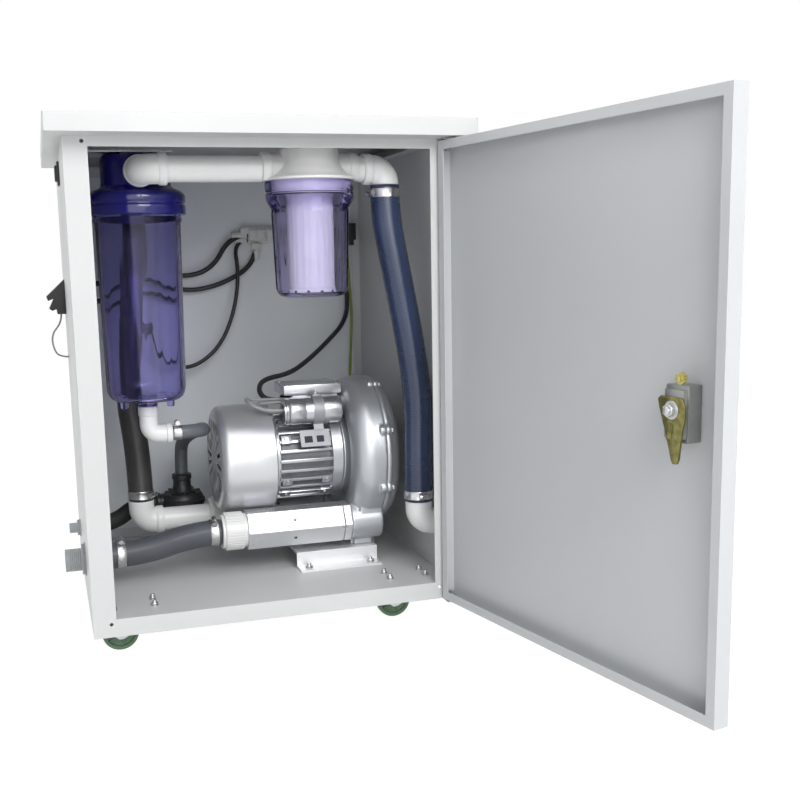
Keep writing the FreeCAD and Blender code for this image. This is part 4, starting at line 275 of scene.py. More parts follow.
# Door
# A folded tray hung on two pins; its inside is coated like the cabinet, drawn in a darker copy of that coat
# as painted shade.
shaded_door_paint = material("door_paint_painted_shade", (0.58, 0.592, 0.602), (0.55, 0.563, 0.574), 0.34, 0.44,
                     grain=650, relief=0.12, drift=5)
folded_sheet("door_panel", "door_tray", shaded_door_paint, 0.5, "door")


# Panel screws
# Zinc-plated pan heads with a cross recess, eight round the back panel.
def lathe(bm, profile, centre, axis, steps=48):
    """Spins a profile of (radius, distance along the axis) in millimetres about the axis; a
    profile that doesn't start on the axis is closed to a ring."""
    axis = Vector(axis).normalized()
    side = axis.orthogonal().normalized()
    verts = [bm.verts.new(centre + (side * r + axis * d) / 1000) for r, d in profile]
    pairs = list(zip(verts, verts[1:]))
    if profile[0][0]:
        pairs.append((verts[-1], verts[0]))
    edges = [bm.edges.new(pair) for pair in pairs]
    bmesh.ops.spin(bm, geom=verts + edges, cent=centre, axis=axis, angle=2 * math.pi, steps=steps,
                   use_merge=True)


def close(bm):
    """Points every face outwards once a shape's seams and poles are merged."""
    bmesh.ops.remove_doubles(bm, verts=bm.verts, dist=2e-6)
    bmesh.ops.recalc_face_normals(bm, faces=bm.faces)


zinc = material("zinc_plate", (0.62, 0.63, 0.64), (0.50, 0.51, 0.52), 0.26, 0.42, grain=1500,
                relief=0.08, drift=60, metallic=1.0)
X, Y, Z = Vector((1, 0, 0)), Vector((0, 1, 0)), Vector((0, 0, 1))
panel_back = 400
bm = bmesh.new()
for height in (29, 315, 579):
    for across in (7, 457) if height == 315 else (7, 232, 457):
        lathe(bm, [(0, 0), (3.6, 0), (3.5, 0.7), (2.6, 1.6), (1.3, 1.95), (1.1, 1.0), (0, 1.0)],
              at(across, panel_back, height), Y, steps=20)
close(bm)
add_piece("panel_screw_heads", bm, zinc, ["panel_screws"])

# Hinge brackets
# A zinc-plated tab at the top and at the bottom of the frame, each with its riveted pin.
folded_sheet("hinge_brackets", "hinge_tabs", zinc, 0.2)


# Separator housing
# The head is moulded in blue plastic and screws onto a tall bowl of violet-blue clear plastic
# with flutes down its wall. Two ports lead the pipes in and out at its dome.
def slab(bm, low, high, round_edge=0.0, segments=2, place=Matrix()):
    """A block between two corners, moved by a matrix, its edges rounded by a width in millimetres."""
    low, high = Vector(low), Vector(high)
    made = bmesh.ops.create_cube(bm, size=1)["verts"]
    size = Matrix.Diagonal((*(high - low), 1))
    bmesh.ops.transform(bm, matrix=place @ Matrix.Translation((low + high) / 2) @ size, verts=made)
    if round_edge:
        edges = list({e for v in made for e in v.link_edges})
        bmesh.ops.bevel(bm, geom=edges, affect="EDGES", offset=round_edge / 1000,
                        segments=segments, profile=0.5, material=-1, clamp_overlap=True)


def slabs_around(bm, count, low, high, centre, axis, round_edge=0.0, segments=2, start=0.0):
    """Repeats a block round an axis through the centre, in equal turns."""
    for i in range(count):
        turn = Matrix.Rotation(2 * math.pi * i / count + start, 4, axis)
        slab(bm, low, high, round_edge, segments, Matrix.Translation(centre) @ turn)


blue_head = material("blue_head", (0.014, 0.012, 0.17), (0.010, 0.009, 0.12), 0.12, 0.18, grain=300,
                     relief=0.05, drift=20, coat=0.3)
separator = at(92.5, 154, 504)
grips = 36
bm = bmesh.new()
lathe(bm, [(0, 20), (50.5, 20), (54.8, 20), (54.8, 0), (60, 0), (62, 1.6), (62, 12), (60.6, 13.4),
           (60.6, 16), (62, 17.4), (62, 24), (60.6, 27), (56, 31), (48, 34), (45, 37), (44, 43), (44, 69),
           (42.4, 74), (38, 77), (0, 77)], separator, Z, steps=72)
close(bm)
round_off(bm, 0.8, 38, 2)
slabs_around(bm, grips, (0.0598, -0.0012, 0.019), (0.062, 0.0012, 0.025), separator, "Z", 0.5, 1)
for port in (-Y, Y):
    lathe(bm, [(13, 40), (22, 40), (22, 50), (21, 51), (21, 53), (20, 54), (14, 54), (13, 53)],
          separator + Z * 0.052, port, steps=40)
close(bm)
add_piece("separator_cap", bm, blue_head, ["separator_head"])


def clear_plastic(name, tone, shade, depth_colour):
    """A clear plastic that takes the colour of its own thickness, so that its edges look deeper."""
    finish = material(name, tone, shade, 0.04, 0.09, grain=80, relief=0.02, drift=18, transmission=1.0,
                      ior=1.35)
    nodes = finish.node_tree.nodes
    absorb = nodes.new("ShaderNodeVolumeAbsorption")
    absorb.inputs["Color"].default_value = (*depth_colour, 1)
    absorb.inputs["Density"].default_value = 40
    sink = next(node for node in nodes if node.type == "OUTPUT_MATERIAL")
    finish.node_tree.links.new(absorb.outputs[0], sink.inputs["Volume"])
    return finish


def flute(bm, centre, depth, low, high, wall, taper, fade=False):
    """Raises twelve rounded ribs on a bowl's outer wall between two heights; they may fade out."""
    for v in bm.verts:
        local = (v.co - centre) * 1000
        radius = math.hypot(local.x, local.y)
        if low < local.z < high and radius > wall + local.z * taper:
            wave = max(math.cos(12 * math.atan2(local.y, local.x)), 0) ** 3
            share = min(1, (local.z - low) / 14, (high - local.z) / 10) if fade else 1
            lift = 1 + depth * wave / radius * share
            v.co = centre + Vector((local.x * lift, local.y * lift, local.z)) / 1000


violet_clear = clear_plastic("violet_clear", (0.74, 0.73, 0.94), (0.69, 0.68, 0.91), (0.3, 0.2, 0.88))
bm = bmesh.new()
outer = [(0, -238), (36.5, -238), (43, -236.8), (47.5, -233), (50, -227), (50.5, -222), (54.5, -10),
         (56.2, -6), (56.2, -2), (54.6, 0), (54.4, 18)]
inner = [(50.5, 18), (50.5, -8), (46.5, -222), (44.5, -229), (40, -233), (34, -234), (0, -234)]
lathe(bm, outer + inner, separator, Z, steps=96)
close(bm)
flute(bm, separator, 2.0, -230, -12, 52.8, 0.0189, fade=True)
for side in (-1, 1):
    lathe(bm, [(0, -248), (4, -248), (5, -247), (5.6, -237), (0, -237)], separator + X * 0.030 * side, Z,
          steps=20)
lathe(bm, [(6.5, -246), (12, -246), (13, -245), (13, -237), (6.5, -237)], separator, Z, steps=32)
close(bm)
add_piece("separator_clear_bowl", bm, violet_clear, ["separator_bowl"])

# Filter housing
# A white cap with two side ports over a violet clear bowl. The bowl has a wide threaded collar and
# holds a white cartridge with a slotted foot; it unscrews downwards for cleaning.
white_plastic = material("white_plastic", (0.78, 0.78, 0.77), (0.74, 0.74, 0.73), 0.26, 0.36, grain=500,
                         relief=0.05, drift=14)
filter_top = at(300, 70, 541)
bm = bmesh.new()
lathe(bm, [(0, -4), (40, -4), (40, -16), (47.6, -16), (47.6, 0), (57.2, 0), (58, 0.8), (58, 2.8), (57, 3.8),
           (53, 5), (49.5, 7), (46, 11), (42, 16.5), (39.5, 22), (38, 29), (38, 36.5), (36.5, 39.8),
           (33.5, 41), (0, 41)], filter_top, Z, steps=72)
for way in (-1, 1):
    lathe(bm, [(13, 34), (19, 34), (19, 50), (20.4, 51), (20.4, 60.8), (19.6, 62), (14, 62), (13, 61)],
          filter_top + Z * 0.015, X * way, steps=40)
for v in bm.verts:
    if v.co.z < filter_top.z and math.hypot(v.co.x - filter_top.x, v.co.y - filter_top.y) > 0.0479:
        v.co.z = filter_top.z
close(bm)
round_off(bm, 0.5, 38, 2)
add_piece("filter_cap_moulding", bm, white_plastic, ["filter_cap"])

purple_clear = clear_plastic("purple_clear", (0.95, 0.94, 0.99), (0.91, 0.90, 0.975), (0.5, 0.38, 0.97))
bm = bmesh.new()
outer = [(0, -144), (34, -144), (40.5, -142.4), (44.6, -138), (46, -132), (49, -40), (49, -34), (51.5, -30),
         (55, -23.5), (55.6, -21), (55.6, -15.5), (54.6, -14.5), (54.6, -12.5), (55.8, -11.5), (56, -10),
         (56, -1.2), (55.2, -0.35), (48.1, -0.35), (48.1, -18)]
inner = [(44.2, -18), (44.2, -32), (45, -38), (42, -132), (40.4, -137), (36, -140), (0, -140)]
lathe(bm, outer + inner, filter_top, Z, steps=96)
close(bm)
flute(bm, filter_top, 1.2, -136, -38, 49.3, 0.03)
add_piece("filter_clear_bowl", bm, purple_clear, ["filter_bowl"], "filter_cup")

cartridge_white = material("cartridge_felt", (0.80, 0.80, 0.81), (0.72, 0.72, 0.74), 0.6, 0.8, grain=700,
                           relief=0.35, drift=30)
folds = 24
bm = bmesh.new()
lathe(bm, [(14, -139.7), (31.5, -139.7), (32, -139), (32, -133.4), (31, -132.6), (30.4, -130), (30.4, -90),
           (30.4, -50), (30.4, -12), (31, -9.6), (32, -9), (32, -5), (31.5, -4.4), (14, -4.4)],
      filter_top, Z, steps=144)
for v in bm.verts:
    local = v.co - filter_top
    if -0.131 < local.z < -0.011 and math.hypot(local.x, local.y) > 0.03:
        fold = 1 - 0.018 * (0.5 - 0.5 * math.cos(folds * math.atan2(local.y, local.x)))
        v.co = filter_top + Vector((local.x * fold, local.y * fold, local.z))
close(bm)
add_piece("filter_sleeve", bm, cartridge_white, ["filter_cartridge"], "cartridge_carrier")


def outward(index, count):
    """The direction of one of several features round an upright axis."""
    angle = 2 * math.pi * index / count
    return Vector((math.cos(angle), math.sin(angle), 0))


def stood(place, axis):
    """Moves an upright shape to a place and turns it to an axis."""
    return Matrix.Translation(place) @ axis.to_track_quat("Z", "Y").to_matrix().to_4x4()


def polygon_bar(bm, centre, axis, radius, length, sides=6, turn=0.0):
    """A bar with a regular section, such as a hexagon head, starting at the centre."""
    axis = Vector(axis).normalized()
    made = bmesh.ops.create_cone(bm, cap_ends=True, segments=sides, radius1=radius / 1000,
                                 radius2=radius / 1000, depth=length / 1000)
    place = stood(centre + axis * length / 2000, axis) @ Matrix.Rotation(turn, 4, "Z")
    bmesh.ops.transform(bm, matrix=place, verts=made["verts"])


# A near-black material for painted shade, put where slots and recesses would be dark.
painted_slot_shade = material("slot_shadow", (0.02, 0.02, 0.03), (0.01, 0.01, 0.015), 0.6, 0.8)
slots = 12
# Twelve short dark bars at the cartridge foot's rim: painted shade inside its slots.
bm = bmesh.new()
for i in range(slots):
    way = outward(i + 0.25, slots)
    polygon_bar(bm, filter_top + way * 0.0302 - Z * 0.1365, way, 2.0, 2.1, sides=12)
add_piece("sleeve_foot_slots", bm, painted_slot_shade, body="cartridge_carrier")


# Rigid pipes
# Grey-white PVC: five solvent-welded elbows, the cross pipe between the heads, a short nipple and
# the pipe to the blower's rear silencer. Sockets stand proud of the pipes they hold.
def ring_of(bm, centre, across, up, radius, count):
    """A circle of points and edges round a centre."""
    verts = [bm.verts.new(centre + (across * math.cos(t) + up * math.sin(t)) * radius)
             for t in [2 * math.pi * i / count for i in range(count)]]
    return verts, [bm.edges.new((verts[i], verts[(i + 1) % count])) for i in range(count)]


def bent_tube(bm, corner_place, first, second, bend, radii, count, steps):
    """The outer and inner wall of a quarter bend between two directions."""
    across = first.cross(second)
    for radius in radii:
        verts, edges = ring_of(bm, corner_place + first * bend, across, second, radius, count)
        bmesh.ops.spin(bm, geom=verts + edges, cent=corner_place + (first + second) * bend, axis=-across,
                       angle=math.pi / 2, steps=steps, use_merge=False)


def elbow(bm, corner_place, first, second, legs, spigots):
    """A bend with a lipped socket, or a barbed spigot for a hose, at each end."""
    bent_tube(bm, corner_place, first, second, 0.019, (0.018, 0.0135), 32, 12)
    for way, leg, spigot in ((first, legs[0], spigots[0]), (second, legs[1], spigots[1])):
        if spigot:
            ends = [(18.1, leg - 1), (17.2, leg), (spigot, leg), (spigot, leg + 20), (spigot - 1, leg + 22),
                    (13.6, leg + 22)]
        elif leg > 25:
            ends = [(18.6, 19.4), (19.5, 21), (19.5, leg - 1), (18.8, leg), (13.6, leg)]
        else:
            ends = [(18.1, leg), (13.6, leg)]
        lathe(bm, [(13.6, 18.6), (17.8, 18.6)] + ends, corner_place, way, steps=32)


def tube(bm, inner, outer, low, high, centre, axis, steps=48):
    """A plain tube, or with no inner radius a disc, between two distances along an axis."""
    lathe(bm, [(inner, low), (outer, low), (outer, high), (inner, high)], centre, axis, steps)


pvc = material("pvc", (0.84, 0.84, 0.835), (0.80, 0.80, 0.795), 0.3, 0.42, grain=400, relief=0.06, drift=18)
heads_height = 556
front_row = 70
bm = bmesh.new()
elbow(bm, at(92.5, front_row, heads_height), Y, X, (30, 30), (0, 0))
elbow(bm, at(92.5, 238, heads_height), -Y, -Z, (30, 20), (0, 15.05))
elbow(bm, at(400, front_row, heads_height), -X, -Z, (30, 20), (0, 16.55))
elbow(bm, at(440, front_row, 88), Z, X, (30, 22.8), (16.55, 0))
elbow(bm, at(84.5, 250, 81), Z, X, (30, 30), (15.05, 0))
close(bm)
add_piece("pvc_bends", bm, pvc, ["pvc_elbows"])

bm = bmesh.new()
for start, length in ((at(122.5, front_row, heads_height), 115.5), (at(362, front_row, heads_height), 8),
                      (at(114.5, 250, 81), 65.5)):
    tube(bm, 14, 16, 0, length, start, X, 40)
close(bm)
add_piece("pvc_straights", bm, pvc, ["pvc_pipes"])


# Wall ports
# Threaded nipples through the side walls, each clamped by hexagonal flange nuts: the suction port
# on the right, the exhaust and the drain on the left.
def wall_port(name, finish, node, start, axis, bore, radius, reach, nut, nuts, pitch=2.5, edge=0.4):
    """A nipple with thread ridges, and 5 mm thick nuts of a radius at the given distances."""
    bm = bmesh.new()
    profile = [(bore, 0), (radius - 1, 0)]
    for i in range(int((reach - 2) / pitch)):
        profile += [(radius, 0.6 + i * pitch), (radius - 0.55, 0.6 + (i + 0.5) * pitch)]
    profile += [(radius, reach - 1), (radius - 0.8, reach), (bore, reach)]
    lathe(bm, profile, start, axis, steps=40)
    for near in nuts:
        tube(bm, radius - 0.2, nut, near, near + 1.5, start, axis, 40)
        made = bmesh.ops.create_cone(bm, cap_ends=False, segments=6, radius1=(nut - 1) / 1000,
                                     radius2=(nut - 1) / 1000, depth=0.0035)["verts"]
        bmesh.ops.transform(bm, matrix=stood(start + axis * (near + 3.25) / 1000, axis), verts=made)
        rims = [e for e in bm.edges if e.is_boundary and e.verts[0] in made and e.verts[1] in made]
        bmesh.ops.holes_fill(bm, edges=rims, sides=6)
    close(bm)
    round_off(bm, edge, 50, 1)
    add_piece(name, bm, finish, [node])


port_grey = material("port_grey", (0.40, 0.42, 0.43), (0.34, 0.36, 0.37), 0.35, 0.5, grain=500, relief=0.08)
port_pale = material("port_pale", (0.50, 0.52, 0.53), (0.44, 0.46, 0.47), 0.35, 0.5, grain=500, relief=0.08)
wall_port("suction_nipple", port_pale, "suction_port", at(462.8, front_row, 88), X, 13, 15.9, 27.2, 22, [1.2])
wall_port("exhaust_nipple", port_grey, "exhaust_stub", at(28.2, 142, 62), -X, 12.6, 15.05, 54.2, 22,
          [22, 28.2])
wall_port("drain_nipple", port_pale, "drain_stub", at(20.2, 305, 66), -X, 5.3, 7.7, 36.2, 12.8,
          [14, 20.2], pitch=1.8, edge=0.3)


# Hoses
# Soft PVC suction hose with a spiral inside its wall. Each is pushed over its spigots and bends in
# one easy curve from end to end.
def hose_material(name, tone, shade, smooth, rough, pitch, relief, coat=0.0):
    """Flexible PVC whose spiral shows as faint bands along the hose's length."""
    made = material(name, tone, shade, smooth, rough, grain=420, relief=0.12, drift=22, coat=coat)
    tree = made.node_tree
    shader = tree.nodes["Principled BSDF"]
    surface = [n for n in tree.nodes if n.type == "GROUP"][0]
    uv = tree.nodes.new("ShaderNodeUVMap")
    bands = tree.nodes.new("ShaderNodeTexWave")
    bands.wave_profile = "SIN"
    bands.inputs["Scale"].default_value = pitch
    bands.inputs["Distortion"].default_value = 0.2
    tree.links.new(uv.outputs[0], bands.inputs["Vector"])
    ridge = tree.nodes.new("ShaderNodeBump")
    ridge.inputs["Strength"].default_value = relief
    ridge.inputs["Distance"].default_value = 0.0006
    tree.links.new(bands.outputs["Fac"], ridge.inputs["Height"])
    tree.links.new(surface.outputs["Normal"], ridge.inputs["Normal"])
    tree.links.new(ridge.outputs[0], shader.inputs["Normal"])
    band_tone = tree.nodes.new("ShaderNodeMix")
    band_tone.data_type = "RGBA"
    band_tone.blend_type = "MULTIPLY"
    band_tone.inputs[0].default_value = 0.35
    tree.links.new(surface.outputs["Color"], band_tone.inputs[6])
    tree.links.new(bands.outputs["Color"], band_tone.inputs[7])
    tree.links.new(band_tone.outputs[2], shader.inputs["Base Color"])
    return made


def centre_line(name, points):
    """The smooth line through a hose's or cable's route, given in cabinet millimetres."""
    line = bpy.data.curves.new(name, "CURVE")
    line.dimensions = "3D"
    spline = line.splines.new("NURBS")
    spline.points.add(len(points) - 1)
    for point, place in zip(spline.points, points):
        point.co = (*at(*place), 1)
    spline.order_u = 3
    spline.use_endpoint_u = True
    spline.resolution_u = 12
    return line


def sweep(name, points, radius, finish, nodes=(), wall=0.0):
    """A round hose or cable along a route; a hose gets the thickness of its wall."""
    line = centre_line(name, points)
    line.bevel_depth = radius / 1000
    line.bevel_resolution = 6
    line.use_fill_caps = not wall
    holder = show(name + "_line", line)
    bpy.context.view_layer.update()
    mesh = bpy.data.meshes.new_from_object(holder.evaluated_get(bpy.context.evaluated_depsgraph_get()))
    bpy.data.objects.remove(holder)
    mesh.name = name
    mesh.materials.clear()
    mesh.materials.append(finish)
    mesh.shade_smooth()
    piece = mount(show(name, mesh), nodes, "cabinet")
    if wall:
        thick = piece.modifiers.new("wall", "SOLIDIFY")
        thick.thickness = wall / 1000
        thick.offset = -1


blue_hose = hose_material("blue_hose", (0.040, 0.060, 0.130), (0.028, 0.042, 0.095), 0.2, 0.34, 60, 0.25, 0.2)
sweep("blue_suction_hose", [(400, 70, 536), (400, 70, 500), (409, 70, 450), (427, 70, 358), (442, 70, 262),
                            (440, 70, 185), (440, 70, 118)], 19, blue_hose, ["suction_hose"], 2.4)
dark_hose = hose_material("dark_hose", (0.075, 0.070, 0.068), (0.05, 0.047, 0.045), 0.25, 0.42, 60, 0.3, 0.1)
sweep("dark_return_hose", [(92.5, 238, 536), (92.5, 238, 440), (72, 247, 275), (84.5, 250, 175),
                           (84.5, 250, 111)], 17.5, dark_hose, ["return_hose"], 2.4)
grey_hose = hose_material("grey_hose", (0.125, 0.135, 0.155), (0.09, 0.098, 0.115), 0.25, 0.4, 34, 0.5, 0.1)
sweep("grey_exhaust_hose", [(180, 142, 81), (140, 142, 81), (70, 142, 62), (6.2, 142, 62)], 17.5,
      grey_hose, ["exhaust_hose"], 2.4)
drain_grey = hose_material("drain_hose_grey", (0.17, 0.185, 0.205), (0.13, 0.142, 0.16), 0.28, 0.42, 40, 0.2)
sweep("grey_drain_hose", [(122.5, 154, 220), (147, 154, 220), (171, 178, 218), (168, 236, 210),
                          (152, 292, 188), (150, 305, 162), (150, 305, 134)], 9.5, drain_grey,
      ["drain_hose"], 2)

# Drain line
# A white elbow under the bowl leads into the small hose; a black flap valve low in the cabinet
# lets the water out through a rubber elbow when the blower stops.
drain_corner = at(92.5, 154, 220)
bm = bmesh.new()
bent_tube(bm, drain_corner, Z, X, 0.0135, (0.012, 0.0055), 28, 10)
lathe(bm, [(5.5, 13.5), (12, 13.5), (12, 25), (13.2, 26), (13.2, 37), (12.4, 38), (5.5, 38)], drain_corner,
      Z, steps=28)
lathe(bm, [(5.5, 13.5), (12, 13.5), (12, 22), (13.2, 23), (13.2, 29), (12.4, 30), (7.45, 30), (7.45, 43),
           (6.8, 44), (5.5, 44)], drain_corner, X, steps=28)
close(bm)
add_piece("white_drain_elbow", bm, pvc, ["drain_elbow"])

black_plastic = material("black_plastic", (0.016, 0.016, 0.018), (0.028, 0.028, 0.030), 0.38, 0.55,
                         grain=700, relief=0.2, drift=25)
valve = at(150, 305, 82)
bm = bmesh.new()
lathe(bm, [(0, 0), (27, 0), (30, 1), (31, 3), (31, 8.5), (33, 9.5), (33, 14.5), (31, 15.5), (31, 17.5),
           (28.5, 22), (27, 24), (18, 24.8), (16, 27), (14, 33), (13, 35), (13, 44), (14.4, 45), (14.4, 51),
           (13.6, 52), (0, 52)], valve, Z)
lathe(bm, [(0, 20), (12, 20), (12, 33), (13.4, 34), (13.4, 38), (12.6, 39), (0, 39)], valve + Z * 0.012, -X,
      steps=32)
valve_ribs = 8
for i in range(valve_ribs):
    polygon_bar(bm, valve + outward(i + 0.5, valve_ribs) * 0.0285 + Z * 0.0135, Z, 2.4, 4.0)
slabs_around(bm, valve_ribs, (0.013, -0.0012, 0.024), (0.026, 0.0012, 0.0275), valve, "Z", 0.4, 1,
             start=math.pi / valve_ribs + 0.39)
close(bm)
add_piece("black_drain_valve", bm, black_plastic, ["drain_valve"])
black_rubber = material("black_rubber", (0.014, 0.014, 0.014), (0.022, 0.022, 0.022), 0.5, 0.7,
                        grain=500, relief=0.15, drift=25)
sweep("black_outlet_elbow", [(111, 305, 94), (82, 305, 94), (46, 305, 66), (6.2, 305, 66)], 12,
      black_rubber, ["drain_outlet_elbow"], 3)

# Hose clamps
# Worm-drive clamps of stainless band: the band runs round the hose end and its slotted screw lies
# in a pressed housing beside it.
stainless = material("stainless", (0.66, 0.66, 0.66), (0.56, 0.56, 0.57), 0.2, 0.34, grain=1800,
                     relief=0.05, drift=40, metallic=1.0)
bm = bmesh.new()
for place, along, side, hose in (
        ((400, 70, 526), Z, -X - Y * 0.25, 19), ((440, 70, 127), Z, -Y, 19), ((92.5, 238, 526), Z, -X, 17.5),
        ((84.5, 250, 120), Z, X - Y, 17.5), ((170, 142, 81), X, Z - Y * 0.5, 17.5),
        ((18.2, 142, 62), X, Z - Y * 0.5, 17.5), ((46, 142, 63), X, Z - Y * 0.2, 17.5),
        ((129.5, 154, 220), X, Z, 9.5), ((15.2, 305, 66), X, Z, 12)):
    side = Vector(side).normalized()
    lathe(bm, [(hose + 0.02, -5.5), (hose + 0.8, -5.5), (hose + 1, -4.9), (hose + 0.75, -4.2),
               (hose + 0.75, 4.2), (hose + 1, 4.9), (hose + 0.8, 5.5), (hose + 0.02, 5.5)],
          at(*place), along, steps=56)
    across = along.cross(side)
    head = at(*place) + side * (hose + 4.0) / 1000
    lathe(bm, [(0, -6.5), (3.0, -6.5), (3.3, -6), (3.3, 4.5), (3.0, 5), (0, 5)], head, across, steps=20)
    polygon_bar(bm, head + across * 0.005, across, 3.4, 3.6)
    saddle = Matrix.Translation(head) @ Matrix((across, along, side)).transposed().to_4x4()
    slab(bm, (-0.006, -0.0052, -0.0034), (0.0046, 0.0052, -0.0027), place=saddle)
close(bm)
add_piece("worm_clamps", bm, stainless, ["hose_clamps"])

# Blower housing
# The side-channel blower is cast in two aluminium halves: the casing carries the ring channel,
# two ports and a cast foot, and the cover closes it with eight bolts. As-cast skin, soft corners.
cast_silver = material("cast_aluminium", (0.53, 0.55, 0.575), (0.46, 0.48, 0.505), 0.33, 0.42, grain=420,
                       relief=0.3, drift=14, metallic=0.72)
axis_base = at(360, 196, 172)


def arc(middle_r, middle_d, radius, first, last, steps):
    """Points of a profile on a circle, by angle in degrees from the outward direction."""
    return [(middle_r + radius * math.cos(math.radians(first + (last - first) * i / steps)),
             middle_d + radius * math.sin(math.radians(first + (last - first) * i / steps)))
            for i in range(steps + 1)]


def around(index, count, radius, offset=0.5):
    """The place of one of several features round the blower's axis."""
    angle = 2 * math.pi * (index + offset) / count
    return (Y * math.cos(angle) + Z * math.sin(angle)) * radius / 1000


def cast(piece):
    """Merges overlapping solids into one casting with soft inner corners."""
    merge = piece.modifiers.new("merge", "REMESH")
    merge.mode = "VOXEL"
    merge.voxel_size = 0.0015
    merge.use_smooth_shade = True
    ease = piece.modifiers.new("ease", "SMOOTH")
    ease.iterations = 3
    ease.factor = 0.5


cover_bolts = [axis_base + around(i, 8, 104) for i in range(8)]
port_rows = (142, 250)
port_height = 81
bm = bmesh.new()
bulge = arc(80, 26, 26, 207.5, 360, 20)
lathe(bm, [(10, -5), (60, -5), (61, -3), (59, 3), (58, 11), (57, 14)] + bulge
      + [(106, 44), (95, 44), (95, 33.4)] + arc(80, 33.4, 20, 0, -180, 14) + [(10, 33.4)],
      axis_base, X, steps=120)
for place in cover_bolts:
    tube(bm, 0, 7, 36, 44, place, X, 24)
for row in port_rows:
    port = at(360, row, port_height)
    tube(bm, 14, 27, 0, 44, port, X)
    slab(bm, port + Vector((0.012, -0.024, 0)), port + Vector((0.044, 0.024, 0.030)))
slab(bm, at(368, 142, 44), at(396, 250, 92))
for across in (150, 196, 242):
    slab(bm, at(364, across - 4, 44), at(400, across + 4, 84))
close(bm)
cast(add_piece("blower_casing", bm, cast_silver, ["ring_casing"]))

bm = bmesh.new()
lathe(bm, [(0, 44), (60, 44)] + arc(80, 44, 20, 180, 0, 14) + [(106, 44), (106, 51)]
      + arc(80, 44, 24.5, 16.6, 163.4, 18) + [(50, 51.5), (24, 51.5), (22.5, 54), (0, 54)],
      axis_base, X, steps=120)
for place in cover_bolts:
    tube(bm, 0, 7, 44, 51, place, X, 24)
slabs_around(bm, 6, (0.0505, -0.0018, 0.022), (0.0545, 0.0018, 0.056), axis_base, "X")
close(bm)
cast(add_piece("blower_cover", bm, cast_silver, ["ring_cover"]))

bm = bmesh.new()
for place in cover_bolts:
    foot = place + X * 0.051
    tube(bm, 0, 6, 0, 0.9, foot, X, 20)
    polygon_bar(bm, foot + X * 0.0009, X, 4.9, 3.6)
close(bm)
round_off(bm, 0.3, 40, 1)
add_piece("cover_bolts", bm, cast_silver)

# Impeller, shaft and bearings
# A machined disc with cells milled in both faces turns in the ring channel; it sits on the end of
# the motor's ground shaft, which carries the rotor core and runs in two ball bearings.
machined = material("machined_aluminium", (0.66, 0.66, 0.67), (0.58, 0.58, 0.59), 0.2, 0.32, grain=900,
                    relief=0.06, drift=30, metallic=1.0)
blades = 52
bm = bmesh.new()
lathe(bm, [(6, 30), (9.6, 30), (9.6, 34), (64, 34), (65, 34.6), (65.5, 37.8), (92.6, 37.8), (92.6, 34),
           (94, 34), (94, 43.4), (92.6, 43.4), (92.6, 39.6), (65.5, 39.6), (65, 42.8), (64, 43.4), (6, 43.4)],
      axis_base, X, steps=2 * blades)
for low, high in ((0.034, 0.0378), (0.0396, 0.0434)):
    slabs_around(bm, blades, (low, -0.0009, 0.0648), (high, 0.0009, 0.0930), axis_base, "X")
close(bm)
add_piece("blower_impeller", bm, machined, ["impeller"], "rotor")

ground_steel = material("ground_steel", (0.55, 0.55, 0.56), (0.48, 0.48, 0.49), 0.16, 0.28, grain=1200,
                        relief=0.05, drift=40, metallic=1.0)
bm = bmesh.new()
core = []
for i in range(31):
    core += [(29, -85 + 2 * i), (29, -83.6 + 2 * i), (28.7, -83.4 + 2 * i), (28.7, -83.2 + 2 * i)]
lathe(bm, [(0, -161), (5.4, -161), (6, -160.4), (6, -159), (8, -159), (8, -85)] + core
      + [(8, -23), (8, 30), (6, 30), (6, 42.8), (5.4, 43.4), (0, 43.4)], axis_base, X)
close(bm)
add_piece("rotor_shaft", bm, ground_steel, ["motor_shaft"], "rotor")

balls = 9
bm = bmesh.new()
for low in (-103, -15):
    lathe(bm, [(14, low), (16.6, low), (17, low + 0.4), (17, low + 9.6), (16.6, low + 10), (14, low + 10),
               (14, low + 8), (14.6, low + 5), (14, low + 2)], axis_base, X, steps=48)
    lathe(bm, [(8.03, low), (10.6, low), (11, low + 2), (10.4, low + 5), (11, low + 8), (10.6, low + 10),
               (8.03, low + 10)], axis_base, X, steps=48)
    for i in range(balls):
        made = bmesh.ops.create_uvsphere(bm, u_segments=14, v_segments=8, radius=0.0020)["verts"]
        bmesh.ops.translate(bm, vec=axis_base + X * (low + 5) / 1000 + around(i, balls, 12.5), verts=made)
close(bm)
add_piece("ball_bearings", bm, ground_steel, ["shaft_bearings"])

bm = bmesh.new()
lathe(bm, [(8.02, -157), (14.4, -157), (15, -156.4), (16, -141), (30, -140.2), (56, -139.6), (56, -137),
           (8.02, -137)], axis_base, X, steps=56)
slabs_around(bm, 7, (-0.157, -0.0012, 0.0135), (-0.1385, 0.0012, 0.058), axis_base, "X", 0.5, 1)
close(bm)
add_piece("motor_fan", bm, black_plastic, ["cooling_fan"], "rotor")

